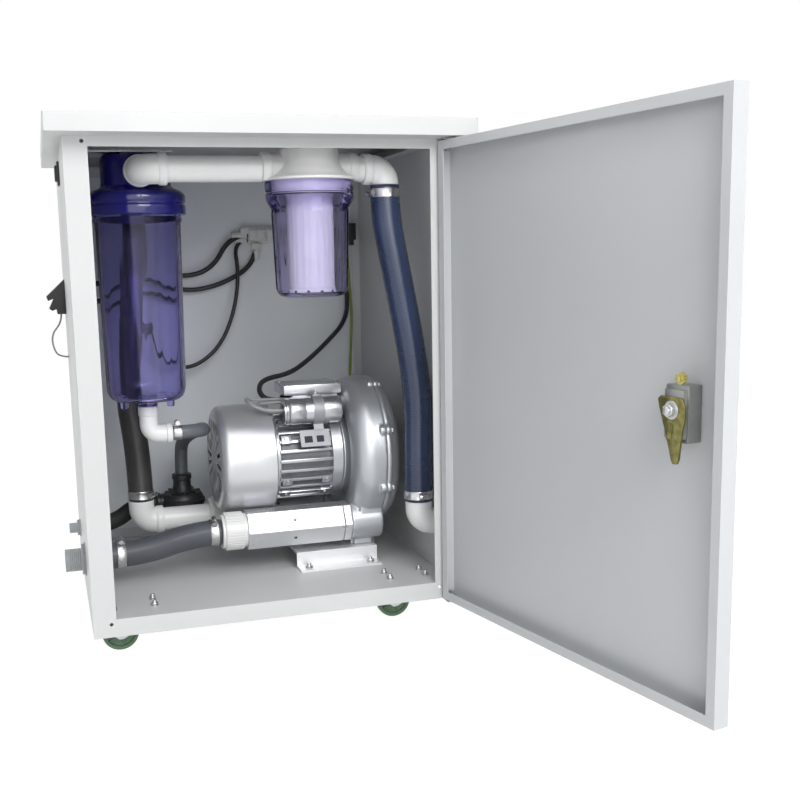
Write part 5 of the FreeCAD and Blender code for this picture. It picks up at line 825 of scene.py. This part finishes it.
# Motor
# A die-cast aluminium stator with lengthwise cooling fins between two end shields, and a pressed
# steel cowl over the fan with radial air slots in its end.
die_cast = material("die_cast", (0.50, 0.515, 0.545), (0.44, 0.455, 0.485), 0.26, 0.33, grain=420,
                    relief=0.15, drift=20, metallic=0.8)
fins = 28
pads = (38, 62, 118, 142)
bm = bmesh.new()
lathe(bm, [(17, -103), (52, -103), (55, -101.5), (58, -101), (59.5, -99.5), (59.5, -94), (57.5, -92),
           (55, -91.5), (55, -23), (60, -22), (62.5, -20.5), (62.5, -6.5), (61, -5), (17, -5), (17, -15),
           (30, -15), (30, -93), (17, -93)], axis_base, X, steps=112)
slabs_around(bm, fins, (-0.095, -0.0024, 0.0535), (-0.021, 0.0024, 0.0622), axis_base, "X", 0.9, 2)
for angle in pads:
    for left, right in ((-0.092, -0.078), (-0.036, -0.022)):
        slab(bm, (left, -0.006, 0.053), (right, 0.006, 0.0635), 0.8, 2,
             Matrix.Translation(axis_base) @ Matrix.Rotation(math.radians(angle), 4, "X"))
close(bm)
stator = add_piece("finned_stator", bm, die_cast, ["motor_stator"])
# The barrel between the fins gets a second, dark material: painted shade in the grooves between the fins.
painted_fin_groove_shade = material("painted_fin_groove_shade", (0.17, 0.175, 0.185), (0.12, 0.125, 0.13), 0.4, 0.5, grain=500,
                       relief=0.2, drift=30, metallic=0.6)
stator.data.materials.append(painted_fin_groove_shade)
for face in stator.data.polygons:
    local = (face.center - axis_base) * 1000
    if -91.8 < local.x < -22.2 and math.hypot(local.y, local.z) < 55.6:
        face.material_index = 1
bm = bmesh.new()
for angle in pads:
    turn = Matrix.Rotation(math.radians(angle), 3, "X")
    for across in (-0.085, -0.029):
        foot = axis_base + turn @ Vector((across, 0, 0.0635))
        polygon_bar(bm, foot, turn @ Z, 3.4, 2.2)
close(bm)
round_off(bm, 0.3, 40, 1)
add_piece("stator_bolts", bm, zinc)

cowl_grey = material("cowl_paint", (0.66, 0.67, 0.69), (0.61, 0.62, 0.64), 0.27, 0.32, grain=700,
                     relief=0.12, drift=10, metallic=0.7)
bm = bmesh.new()
lathe(bm, [(0, -177), (20, -177), (22, -177), (39, -177), (56, -177), (61, -177)]
      + arc(61, -163, 14, -75, 0, 8)[1:] + [(75, -160), (75, -130), (75, -103), (74.7, -101)],
      axis_base, X, steps=108)
bmesh.ops.remove_doubles(bm, verts=bm.verts, dist=2e-6)
holes = []
for face in bm.faces:
    middle = face.calc_center_median() - axis_base
    radius = math.hypot(middle.y, middle.z) * 1000
    turn = math.degrees(math.atan2(middle.z, middle.y)) % 20
    if 22 < radius < 56 and middle.x < -0.17 and turn < 6.7:
        holes.append(face)
bmesh.ops.delete(bm, geom=holes, context="FACES")
bmesh.ops.recalc_face_normals(bm, faces=bm.faces)
cowl = add_piece("pressed_cowl", bm, cowl_grey, ["fan_cowl"])
sheet = cowl.modifiers.new("sheet", "SOLIDIFY")
sheet.thickness = 0.0014
sheet.offset = -1

# Terminal box and run capacitor
# A sheet metal box on top of the fins with its lid held by four screws. The capacitor's drawn can
# lies in front of it in a strap that is bolted to the fins; its two leads loop back to the box.
box_silver = material("box_silver", (0.58, 0.59, 0.62), (0.52, 0.53, 0.56), 0.28, 0.34, grain=700,
                      relief=0.12, drift=16, metallic=0.65)
bm = bmesh.new()
slab(bm, at(292, 170, 233.5), at(357, 222, 260.6), 1.2)
slab(bm, at(279, 164, 258.5), at(361, 227, 272.8), 1.6)
slab(bm, at(300, 176, 228), at(348, 216, 234.6), 0.8)
close(bm)
add_piece("wiring_box", bm, box_silver, ["terminal_box"])
bm = bmesh.new()
for across in (285, 355):
    for along in (170, 221):
        lathe(bm, [(0, 0), (3.2, 0), (3.1, 0.8), (2.2, 1.5), (0.6, 1.6), (0.6, 0.7), (0, 0.7)],
              at(across, along, 272.6), Z, steps=16)
close(bm)
add_piece("box_screws", bm, zinc)
can_metal = material("capacitor_can", (0.50, 0.515, 0.54), (0.44, 0.455, 0.48), 0.2, 0.26, grain=900,
                     relief=0.05, drift=20, metallic=0.85)
can_axis = at(0, 148, 239)
bm = bmesh.new()
lathe(bm, [(0, 272), (15.6, 272), (17.4, 272.5), (17.6, 274.5), (18.8, 275.5), (18.8, 279), (18, 280.4),
           (18.8, 281.8), (19, 284), (19, 301), (18.5, 302), (18.5, 303), (19, 304), (19, 349), (18.4, 352.6),
           (16, 354), (0, 354)], can_axis, X, steps=56)
close(bm)
add_piece("capacitor_body", bm, can_metal, ["run_capacitor"])
bm = bmesh.new()
tube(bm, 17.5, 20.4, 313, 328, can_axis, X, 56)
slab(bm, at(313, 165, 235), at(328, 171.5, 245), 0.3)
slab(bm, at(314.5, 143.6, 256), at(326.5, 152.4, 261.4), 0.6)
lean = Matrix.Translation(at(320, 138.5, 221)) @ Matrix.Rotation(math.radians(-26), 4, "X")
slab(bm, (-0.028, -0.0006, -0.032), (0.014, 0.0009, -0.008), place=lean)
slab(bm, (-0.007, -0.0006, -0.010), (0.007, 0.0009, 0.004), place=lean)
close(bm)
round_off(bm, 0.25, 50, 1)
bracket_steel = material("bracket_steel", (0.34, 0.35, 0.37), (0.28, 0.29, 0.31), 0.42, 0.55, grain=900,
                         relief=0.1, drift=30, metallic=0.45)
add_piece("capacitor_bracket", bm, bracket_steel, ["capacitor_strap"])
# Two thin dark plates on the bracket's leaning foot: painted shade inside its slots.
bm = bmesh.new()
for left, right in ((-0.022, -0.011), (-0.005, 0.005)):
    slab(bm, (left, -0.0016, -0.026), (right, 0.0004, -0.017), 0.3, 1, lean)
add_piece("bracket_slots", bm, painted_slot_shade)
bm = bmesh.new()
polygon_bar(bm, at(320.5, 148, 261.4), Z, 3.4, 2.4)
tube(bm, 0, 2, 0, 6.5, at(320.5, 148, 260), Z, 12)
close(bm)
add_piece("strap_screw", bm, zinc)

# Port silencers
# Two extruded hexagonal tubes are screwed to the casing's ports, each with a knurled plastic
# coupling ring at its left end: the front one takes the exhaust hose, the rear one the inlet pipe.
silencer_metal = material("silencer_metal", (0.74, 0.75, 0.77), (0.68, 0.69, 0.71), 0.24, 0.3, grain=900,
                          relief=0.03, drift=8, metallic=0.7)
hexagon = 0.0289
bm = bmesh.new()
for row in port_rows:
    axis_start = at(0, row, port_height)
    rim = [(hexagon * math.cos(math.radians(a)), hexagon * math.sin(math.radians(a)))
           for a in range(0, 360, 60)]
    for left, right in ((214, 348.9), (349.4, 360)):
        ends = [axis_start + X * across / 1000 for across in (left, right)]
        loops = [[bm.verts.new(end + Y * y + Z * z) for y, z in rim] for end in ends]
        for i in range(6):
            bm.faces.new((loops[0][i], loops[0][(i + 1) % 6], loops[1][(i + 1) % 6], loops[1][i]))
        for end, loop in zip(ends, loops):
            bore = ring_of(bm, end, Y, Z, 0.014, 36)[1]
            outer = [bm.edges.get((loop[i], loop[(i + 1) % 6])) for i in range(6)]
            bmesh.ops.triangle_fill(bm, edges=bore + outer, use_beauty=True)
            if end is ends[0]:
                made = bmesh.ops.extrude_edge_only(bm, edges=bore)["geom"]
                deep = [g for g in made if isinstance(g, bmesh.types.BMVert)]
                bmesh.ops.translate(bm, vec=X * (right - left) / 1000, verts=deep)
close(bm)
round_off(bm, 1.1, 50, 3)
flat_faces(add_piece("hex_silencers", bm, silencer_metal, ["port_silencers"]))
# The silencers' screw heads are small domes in the near-black material of painted shade.
bm = bmesh.new()
for row in port_rows:
    for tilt in (-30, 30):
        out = Vector((0, -math.cos(math.radians(tilt)), math.sin(math.radians(tilt))))
        lathe(bm, [(0, 24.2), (2.1, 24.2), (2.3, 25.1), (1.6, 25.5), (0.7, 25.2), (0, 24.4)],
              at(279, row, port_height), out, steps=16)
close(bm)
add_piece("silencer_screws", bm, painted_slot_shade)
knurls = 40
bm = bmesh.new()
for row in port_rows:
    axis_start = at(0, row, port_height)
    lathe(bm, [(14, 184), (24.6, 184), (25.2, 184.6), (25.2, 209.4), (24.6, 210), (14, 210)], axis_start, X,
          steps=72)
    lathe(bm, [(12, 180), (22.4, 180), (23, 180.6), (23, 213.4), (22.4, 214), (12, 214)], axis_start, X,
          steps=56)
    slabs_around(bm, knurls, (0.1855, -0.0011, 0.0244), (0.2085, 0.0011, 0.0260), axis_start, "X")
lathe(bm, [(12, 158), (14.4, 158), (15.05, 159.5), (15.05, 180.5), (12, 180.5)],
      at(0, port_rows[0], port_height), X)
close(bm)
add_piece("knurled_couplings", bm, white_plastic, ["coupling_rings"])

# Mounting foot
# A bridge of bent sheet carries the blower; its flanges are bolted to the cabinet floor.
foot_silver = material("foot_silver", (0.86, 0.87, 0.875), (0.81, 0.82, 0.825), 0.3, 0.38, grain=900,
                       relief=0.1, drift=16, metallic=0.35)
folded_sheet("mounting_foot", "foot_bridge", foot_silver, 0.6)

# Floor bolts
# Zinc-plated screws through the floor: four for each caster plate and four for the blower's foot,
# with washers and hexagon nuts on top.
casters = {"front_left": (52, 52), "front_right": (412, 52), "rear_left": (52, 348), "rear_right": (412, 348)}
caster_bolts = [(across + dx, along + dy) for across, along in sorted(casters.values())
                for dx in (-25, 25) for dy in (-13, 13)]
foot_bolts = [(across, along) for across in (296, 384) for along in (118, 274)]
bm = bmesh.new()
for places, seat, under, size in ((caster_bolts, 22.0, 18.8, 2.5), (foot_bolts, 25.0, 20.8, 3.0)):
    for i, (across, along) in enumerate(places):
        top = at(across, along, seat)
        tube(bm, size + 0.1, size * 1.9, 0, 0.6, top, Z, 24)
        polygon_bar(bm, at(across, along, seat + 0.6), Z, size * 1.75, 3.0, turn=i * 0.7)
        lathe(bm, [(0, -6), (size, -6), (size, 6.2), (size - 0.6, 6.8), (0, 6.8)], top, Z, steps=20)
        lathe(bm, [(0, -2), (size * 1.2, -2), (size * 1.8, -1.2), (size * 1.8, 0), (0, 0)],
              at(across, along, under), Z, steps=24)
close(bm)
round_off(bm, 0.25, 40, 1)
add_piece("bolts_and_nuts", bm, zinc, ["floor_bolts"])


# Casters
# Pressed steel plates with a ball race carry swivelling forks; a green moulded wheel with a
# rounded tread turns on the riveted axle of each fork.
def cut_plate(bm, outline, sides, place):
    """A plate between two sides in y with an outline of (x, z) points, set in place by a function."""
    rims = [[bm.verts.new(place(x, y, z)) for x, z in outline] for y in sides]
    bm.faces.new(rims[0])
    bm.faces.new(list(reversed(rims[1])))
    for i in range(len(outline)):
        j = (i + 1) % len(outline)
        bm.faces.new((rims[0][j], rims[0][i], rims[1][i], rims[1][j]))


bm = bmesh.new()
for across, along in casters.values():
    slab(bm, at(across - 32, along - 20, 18.8), at(across + 32, along + 20, 20.8), 0.6, 2)
    lathe(bm, [(0, 16.4), (12.6, 16.4), (14, 17.2), (14, 18.9), (0, 18.9)], at(across, along, 0), Z, steps=40)
close(bm)
add_piece("caster_plates_pressed", bm, zinc, ["caster_plates"])
wheel_green = material("wheel_green", (0.125, 0.215, 0.125), (0.09, 0.165, 0.09), 0.34, 0.5, grain=600,
                       relief=0.12, drift=40)
cheek = [(11, 14.4), (12, 9), (4, -4), (-9, -15), (-14, -18), (-20, -18.6), (-25.5, -14), (-26, -8), (-25, 2),
         (-21, 14.4)]
half_tread = [(3.05, 8), (6, 8), (6.6, 7.4), (7.4, 5), (15.5, 4.6), (17, 5.4), (18, 7), (19.5, 7.6),
              (21.6, 7.2), (22.7, 5), (23, 2)]
wheel_trail = 18
axle_height = -10.9
for name, (cx, cy) in casters.items():
    hub = at(cx - wheel_trail, cy, axle_height)
    bm = bmesh.new()
    lathe(bm, [(0, 16.2), (8, 16.2), (11, 16.0), (14, 15.2), (15, 14.4), (15, 13.4), (0, 13.4)],
          at(cx, cy, 0), Z, steps=36)
    slab(bm, at(cx - 21, cy - 10.8, 13.0), at(cx + 12, cy + 10.8, 14.6), 0.7, 2)
    for way, sides in ((-1, (-10.75, -9.25)), (1, (9.25, 10.75))):
        cut_plate(bm, cheek, sides, lambda x, y, z: at(cx + x, cy + y, z))
        lathe(bm, [(0, 10.7), (4.6, 10.7), (4.4, 11.6), (3.2, 12.3), (0, 12.3)], hub, Y * way, steps=24)
    tube(bm, 0, 3, -10, 10, hub, Y, 20)
    close(bm)
    round_off(bm, 0.3, 50, 1)
    add_piece("fork_" + name, bm, zinc, ["caster_fork_" + name], "swivel_" + name)
    bm = bmesh.new()
    lathe(bm, [(r, -d) for r, d in half_tread] + half_tread[::-1], hub, Y, steps=56)
    for low, high in ((-0.0066, -0.0044), (0.0044, 0.0066)):
        slabs_around(bm, 5, (0.0068, low, -0.0011), (0.0172, high, 0.0011), hub, "Y", 0.4, 1)
    close(bm)
    add_piece("wheel_" + name, bm, wheel_green, ["caster_wheel_" + name], "wheel_" + name)

# Lock
# A cast body on the door's inside holds a round barrel that passes through the sheet; the barrel
# turns a flat cam of yellow-passivated steel, held by a nut. A brass screw fixes the body.
door_turn = math.radians(101.5)
hinge_axis = at(455, -12.2, 2)
door_frame = Matrix.Translation(hinge_axis) @ Matrix.Rotation(door_turn, 4, "Z")
inward = door_frame.to_3x3() @ Y
olive = material("yellow_passivated", (0.30, 0.27, 0.09), (0.12, 0.12, 0.05), 0.24, 0.42, grain=500,
                 relief=0.2, drift=160, metallic=0.8)
brass = material("brass", (0.66, 0.58, 0.24), (0.50, 0.44, 0.14), 0.2, 0.32, grain=900, relief=0.06,
                 drift=60, metallic=0.7)
lock_grey = material("lock_casting", (0.36, 0.37, 0.355), (0.26, 0.27, 0.26), 0.3, 0.44, grain=500,
                     relief=0.15, drift=40, metallic=0.7)


def lock_place(along, inwards, up):
    """A place in the closed door's own frame from millimetres along the door, inwards and up."""
    return Vector((along, inwards, up)) / 1000


barrel_place = lock_place(-399, 0, 295)
barrel_axis = door_frame @ barrel_place
bm = bmesh.new()
slab(bm, lock_place(-413, -7.7, 264), lock_place(-384, 9.5, 318), 1.2, 2, door_frame)
slab(bm, lock_place(-410.5, 9, 268), lock_place(-387, 14, 314), 0.8, 2, door_frame)
tube(bm, 8.2, 13, 13, 13.9, barrel_axis, inward, 40)
close(bm)
add_piece("lock_case", bm, lock_grey, ["lock_body"], "door")
bm = bmesh.new()
lathe(bm, [(0, -11.5), (10.6, -11.5), (11.5, -10.8), (11.5, -9.05), (8, -9.05), (8, 13.9), (5, 14), (5, 14.4),
           (0, 14.4)], barrel_axis, inward)
slab(bm, lock_place(-399.9, -11.9, 291), lock_place(-398.1, -11.4, 299), place=door_frame)
close(bm)
add_piece("barrel", bm, zinc, ["lock_barrel"], "lock")
cam_frame = door_frame @ Matrix.Translation(barrel_place)
groove_turn = Matrix.Rotation(math.radians(-9), 4, "Y") @ Matrix.Translation((-0.002, 0, -0.012))
cam = [(-12.5, 12), (14, 12.6), (17.5, 9.5), (15, 0), (8.6, -18), (2.6, -36), (-0.6, -47), (-3, -50.5),
       (-8, -50), (-10, -46), (-11.5, -34), (-14, -18), (-16.6, -8), (-16.6, 4)]
bm = bmesh.new()
cut_plate(bm, cam, (14.5, 17.3), lambda x, y, z: cam_frame @ lock_place(x, y, z))
close(bm)
round_off(bm, 0.5, 50, 2)
slab(bm, lock_place(-3, 17.2, -15), lock_place(2, 18.2, -1), 0.3, 1, cam_frame @ groove_turn)
close(bm)
add_piece("cam_lever", bm, olive, ["lock_cam"], "lock")
bm = bmesh.new()
polygon_bar(bm, barrel_axis + inward * 0.0174, inward, 6.6, 5.2)
tube(bm, 5.6, 8.8, 17.3, 18, barrel_axis, inward, 36)
lathe(bm, [(0, 17), (3.8, 17), (3.8, 24), (3.2, 24.8), (0, 24.8)], barrel_axis, inward, steps=24)
close(bm)
round_off(bm, 0.3, 40, 1)
add_piece("cam_nut", bm, zinc, body="lock")
screw_axis = door_frame @ lock_place(-405, 0, 324.5)
bm = bmesh.new()
polygon_bar(bm, screw_axis + inward * 0.009, inward, 6.0, 4.2)
lathe(bm, [(0, 13), (3.4, 13), (3.2, 16), (0, 16.4)], screw_axis, inward, steps=20)
close(bm)
add_piece("lock_screw", bm, brass, body="door")

# Housing brackets and seals
# Bent zinc-plated straps carry both heads; grey rubber rings seal the bowls.
folded_sheet("housing_brackets", "head_brackets", zinc, 0.4)
seal_rubber = material("seal_rubber", (0.05, 0.05, 0.055), (0.035, 0.035, 0.04), 0.45, 0.6, grain=600,
                       relief=0.1, drift=30)
bm = bmesh.new()
lathe(bm, [(50.7, 18.1), (54.2, 18.1), (54.4, 19), (54.2, 19.9), (50.7, 19.9), (50.5, 19)], separator, Z,
      steps=80)
add_piece("separator_gasket", bm, seal_rubber, ["separator_seal"])
bm = bmesh.new()
lathe(bm, [(44.1, -17.9), (47.5, -17.9), (47.7, -17), (47.5, -16.1), (44.1, -16.1), (44, -17)], filter_top, Z,
      steps=80)
add_piece("filter_gasket", bm, seal_rubber, ["filter_seal"], "cartridge_carrier")

# Wiring
# A moulded terminal strip on the back panel joins the two mains cables, the motor cable and the
# yellow-green earth wire. Black glands hold the cables where they pass the walls.
strip_white = material("strip_nylon", (0.70, 0.70, 0.67), (0.62, 0.62, 0.60), 0.35, 0.5, grain=700,
                       relief=0.1, drift=40)
poles = 12
pole_width = 13.9
strip_left = 280
screw_rows = (478.6, 489.4)
bm = bmesh.new()
slab(bm, at(strip_left, 387, 472), at(strip_left + 168, 398.8, 496), 0.6)
for i in range(poles):
    left = strip_left + 1.5 + i * pole_width
    slab(bm, at(left, 382.2, 475.5), at(left + 12.4, 388, 492.5), 0.8)
    for height in screw_rows:
        lathe(bm, [(0, -0.2), (2.6, -0.2), (2.9, 0.4), (2.9, 1.2), (0, 1.2)],
              at(left + 6.2, 382.2, height), Y, steps=16)
for i in range(poles + 1):
    left = strip_left + i * pole_width
    slab(bm, at(left, 381.9, 473.5), at(left + 1.2, 388, 494.5))
close(bm)
add_piece("terminal_blocks", bm, strip_white, ["terminal_strip"])
bm = bmesh.new()
for i in range(poles):
    for height in screw_rows:
        lathe(bm, [(0, -0.1), (1.9, -0.1), (2.0, 0.3), (0, 0.3)],
              at(strip_left + 7.7 + i * pole_width, 382, height), Y, steps=14)
close(bm)
add_piece("terminal_screws", bm, zinc)
bm = bmesh.new()
slab(bm, at(437, 373, 474), at(451, 382, 500), 1.2, 2)
slab(bm, at(440, 376, 466), at(448, 381, 475), 0.8, 2)
close(bm)
add_piece("end_connector", bm, black_plastic)

bm = bmesh.new()
for place, way, outside in ((at(0, 330, 412), X, False), (at(0, 330, 388), X, False),
                            (at(118, 400, 352), -Y, True)):
    lathe(bm, [(4, 1.2), (10.2, 1.2), (10.6, 1.8), (10.6, 4.6), (10.2, 5.2), (8.8, 5.2), (8.8, 5.4),
               (4, 5.4)], place, way)
    polygon_bar(bm, place + way * 0.0012, way, 10.9, 3.8)
    tube(bm, 4, 8.7, 0, 1.4, place, way, 32)
    if outside:
        polygon_bar(bm, place, -way, 10.9, 5.0)
        lathe(bm, [(3, -5), (7.8, -5), (8, -6), (8, -13), (7, -16.4), (5, -18), (3, -18)], place, way,
              steps=40)
gland_end = at(295, 196, 249.62)
polygon_bar(bm, gland_end, -X, 9.9, 6.0)
lathe(bm, [(3.7, 5.5), (8, 5.5), (8, 10), (7, 13.6), (5, 15), (3.7, 15)], gland_end, -X, steps=40)
close(bm)
round_off(bm, 0.3, 40, 1)
add_piece("black_glands", bm, black_plastic, ["cable_glands"])

cable_black = material("cable_sheath", (0.018, 0.018, 0.020), (0.028, 0.028, 0.03), 0.35, 0.5, grain=500,
                       relief=0.1, drift=40)
sheath_grey = material("grey_sheath", (0.32, 0.33, 0.33), (0.26, 0.27, 0.27), 0.35, 0.5, grain=500,
                       relief=0.1, drift=50)
earth_green = material("earth_sheath", (0.16, 0.27, 0.03), (0.34, 0.36, 0.04), 0.35, 0.5, grain=500,
                       relief=0.05, drift=90)


def slung(start, steps, end):
    """A route between two ends; each step is a share of the way and an offset from there."""
    start, end = Vector(start), Vector(end)
    return [tuple(start)] + [tuple(start + (end - start) * share + Vector(offset))
                             for share, *offset in steps] + [tuple(end)]


sweep("mains_cable_upper", slung((5.2, 330, 412), [
    (0, 28.8, 0, 0), (0.236, 0, 6.5, -2), (0.41, 0, 24.6, 2), (0.6, 0, 19.8, -34), (0.79, 0, 9, -36),
    (1, -28, 0, 0)], (280, 387, 484)), 3.6, cable_black, ["panel_cables"])
sweep("mains_cable_lower", slung((5.2, 330, 388), [
    (0, 28.8, 0, 0), (0.236, 0, 4, -8), (0.41, 0, 20, -3), (0.6, 0, 19, -38), (0.79, 0, 7, -46),
    (1, 0, 0, -32)], (292, 389, 472)), 3.6, cable_black)
sweep("supply_cable", slung((118, 394.8, 352), [
    (0, 0, -23.8, 0), (0, 6, -42.8, -22), (0.16, 0, -40, -79), (0.383, 0, -31, -116), (0.654, 0, -22, -122),
    (0.815, 0, -18, -92), (0.89, 0, -13, -40), (1, -22, 0, 0)], (280, 391, 476.5)), 3, cable_black)
sweep("motor_lead", slung((280, 196, 249.62), [
    (0, -18, 0, 0), (0, -28, 16, 12.4), (0, -16, 40, 26.4), (0, 28, 56, 30.4), (0.4, 5, 12, -42.6),
    (0.6, 12, 10.8, -67), (0.9, 15, -0.8, -101.8), (1, 8, -2, -80), (1, 0, 0, -37)], (430, 388, 472)), 3.6,
      cable_black, ["motor_cables"])
sweep("capacitor_lead_outer", slung((272, 145, 242), [
    (0, -22, 0, 0), (0, -42, 7, 9), (0, -48, 23, 17), (0, -30, 37, 10.62)], (295, 182, 252.62)),
      2.4, sheath_grey)
sweep("capacitor_lead_inner", slung((272, 152, 239), [
    (0, -16, 0, 0), (0, -29, 4, 7), (0, -31, 14, 11), (0, -16, 20, 10.62)], (295, 172, 249.62)),
      2.4, sheath_grey)
sweep("earth_lead", slung((440, 388, 472), [
    (0, 0, 0, -42), (0.226, 18.7, 27, 0), (0.362, 24.3, 42.7, 0), (0.524, 27.4, 56, 0), (0.694, 30.9, 62, 0),
    (0.841, 31, 54, 0), (0.94, 20.6, 30.4, 0)], (384, 281.2, 29.6)), 2, earth_green, ["earth_wire"])

bm = bmesh.new()
for start, way, long in (((254, 387, 484), X, 24), ((261, 391, 476.5), X, 17), ((292, 389, 447), Z, 23),
                         ((430, 388, 450), Z, 20)):
    lathe(bm, [(3.7, 0), (4.6, 0.6), (5.0, long * 0.6), (4.4, long * 0.62), (4.4, long), (3.7, long)],
          at(*start), way, steps=24)
slab(bm, at(268, 380.5, 486), at(279.8, 396, 495), 0.8)
slab(bm, at(284, 380, 462), at(299, 384.5, 471.8), 0.8)
close(bm)
add_piece("cable_sleeves", bm, strip_white)

# Side fittings
# Outside the left wall two angled black mains plugs cover the glands, a loop of thin wire hangs
# below them and a small rocker switch sits under the lid's edge.
plug = [(0, 425), (-26, 401), (-24, 395), (-16, 398), (-23, 384), (-19, 381), (-13, 383), (-12, 376),
        (0, 376)]
bm = bmesh.new()
cut_plate(bm, plug, (315, 345), at)
slab(bm, at(-3, 187, 546), at(0, 213, 576), 0.8, 2)
slab(bm, at(-6, 192, 551), at(-1, 208, 571), 1.4, 2)
close(bm)
round_off(bm, 1.2, 40, 2)
add_piece("plugs_and_switch", bm, black_plastic, ["side_fittings"])
sweep("thin_wire_loop", slung((-7, 330, 376), [
    (0, 0, 0, -12), (0, -16, 0, -30), (0, -12, 0, -56), (0, -1, 0, -62)], (0, 330, 314)), 1.3, sheath_grey)
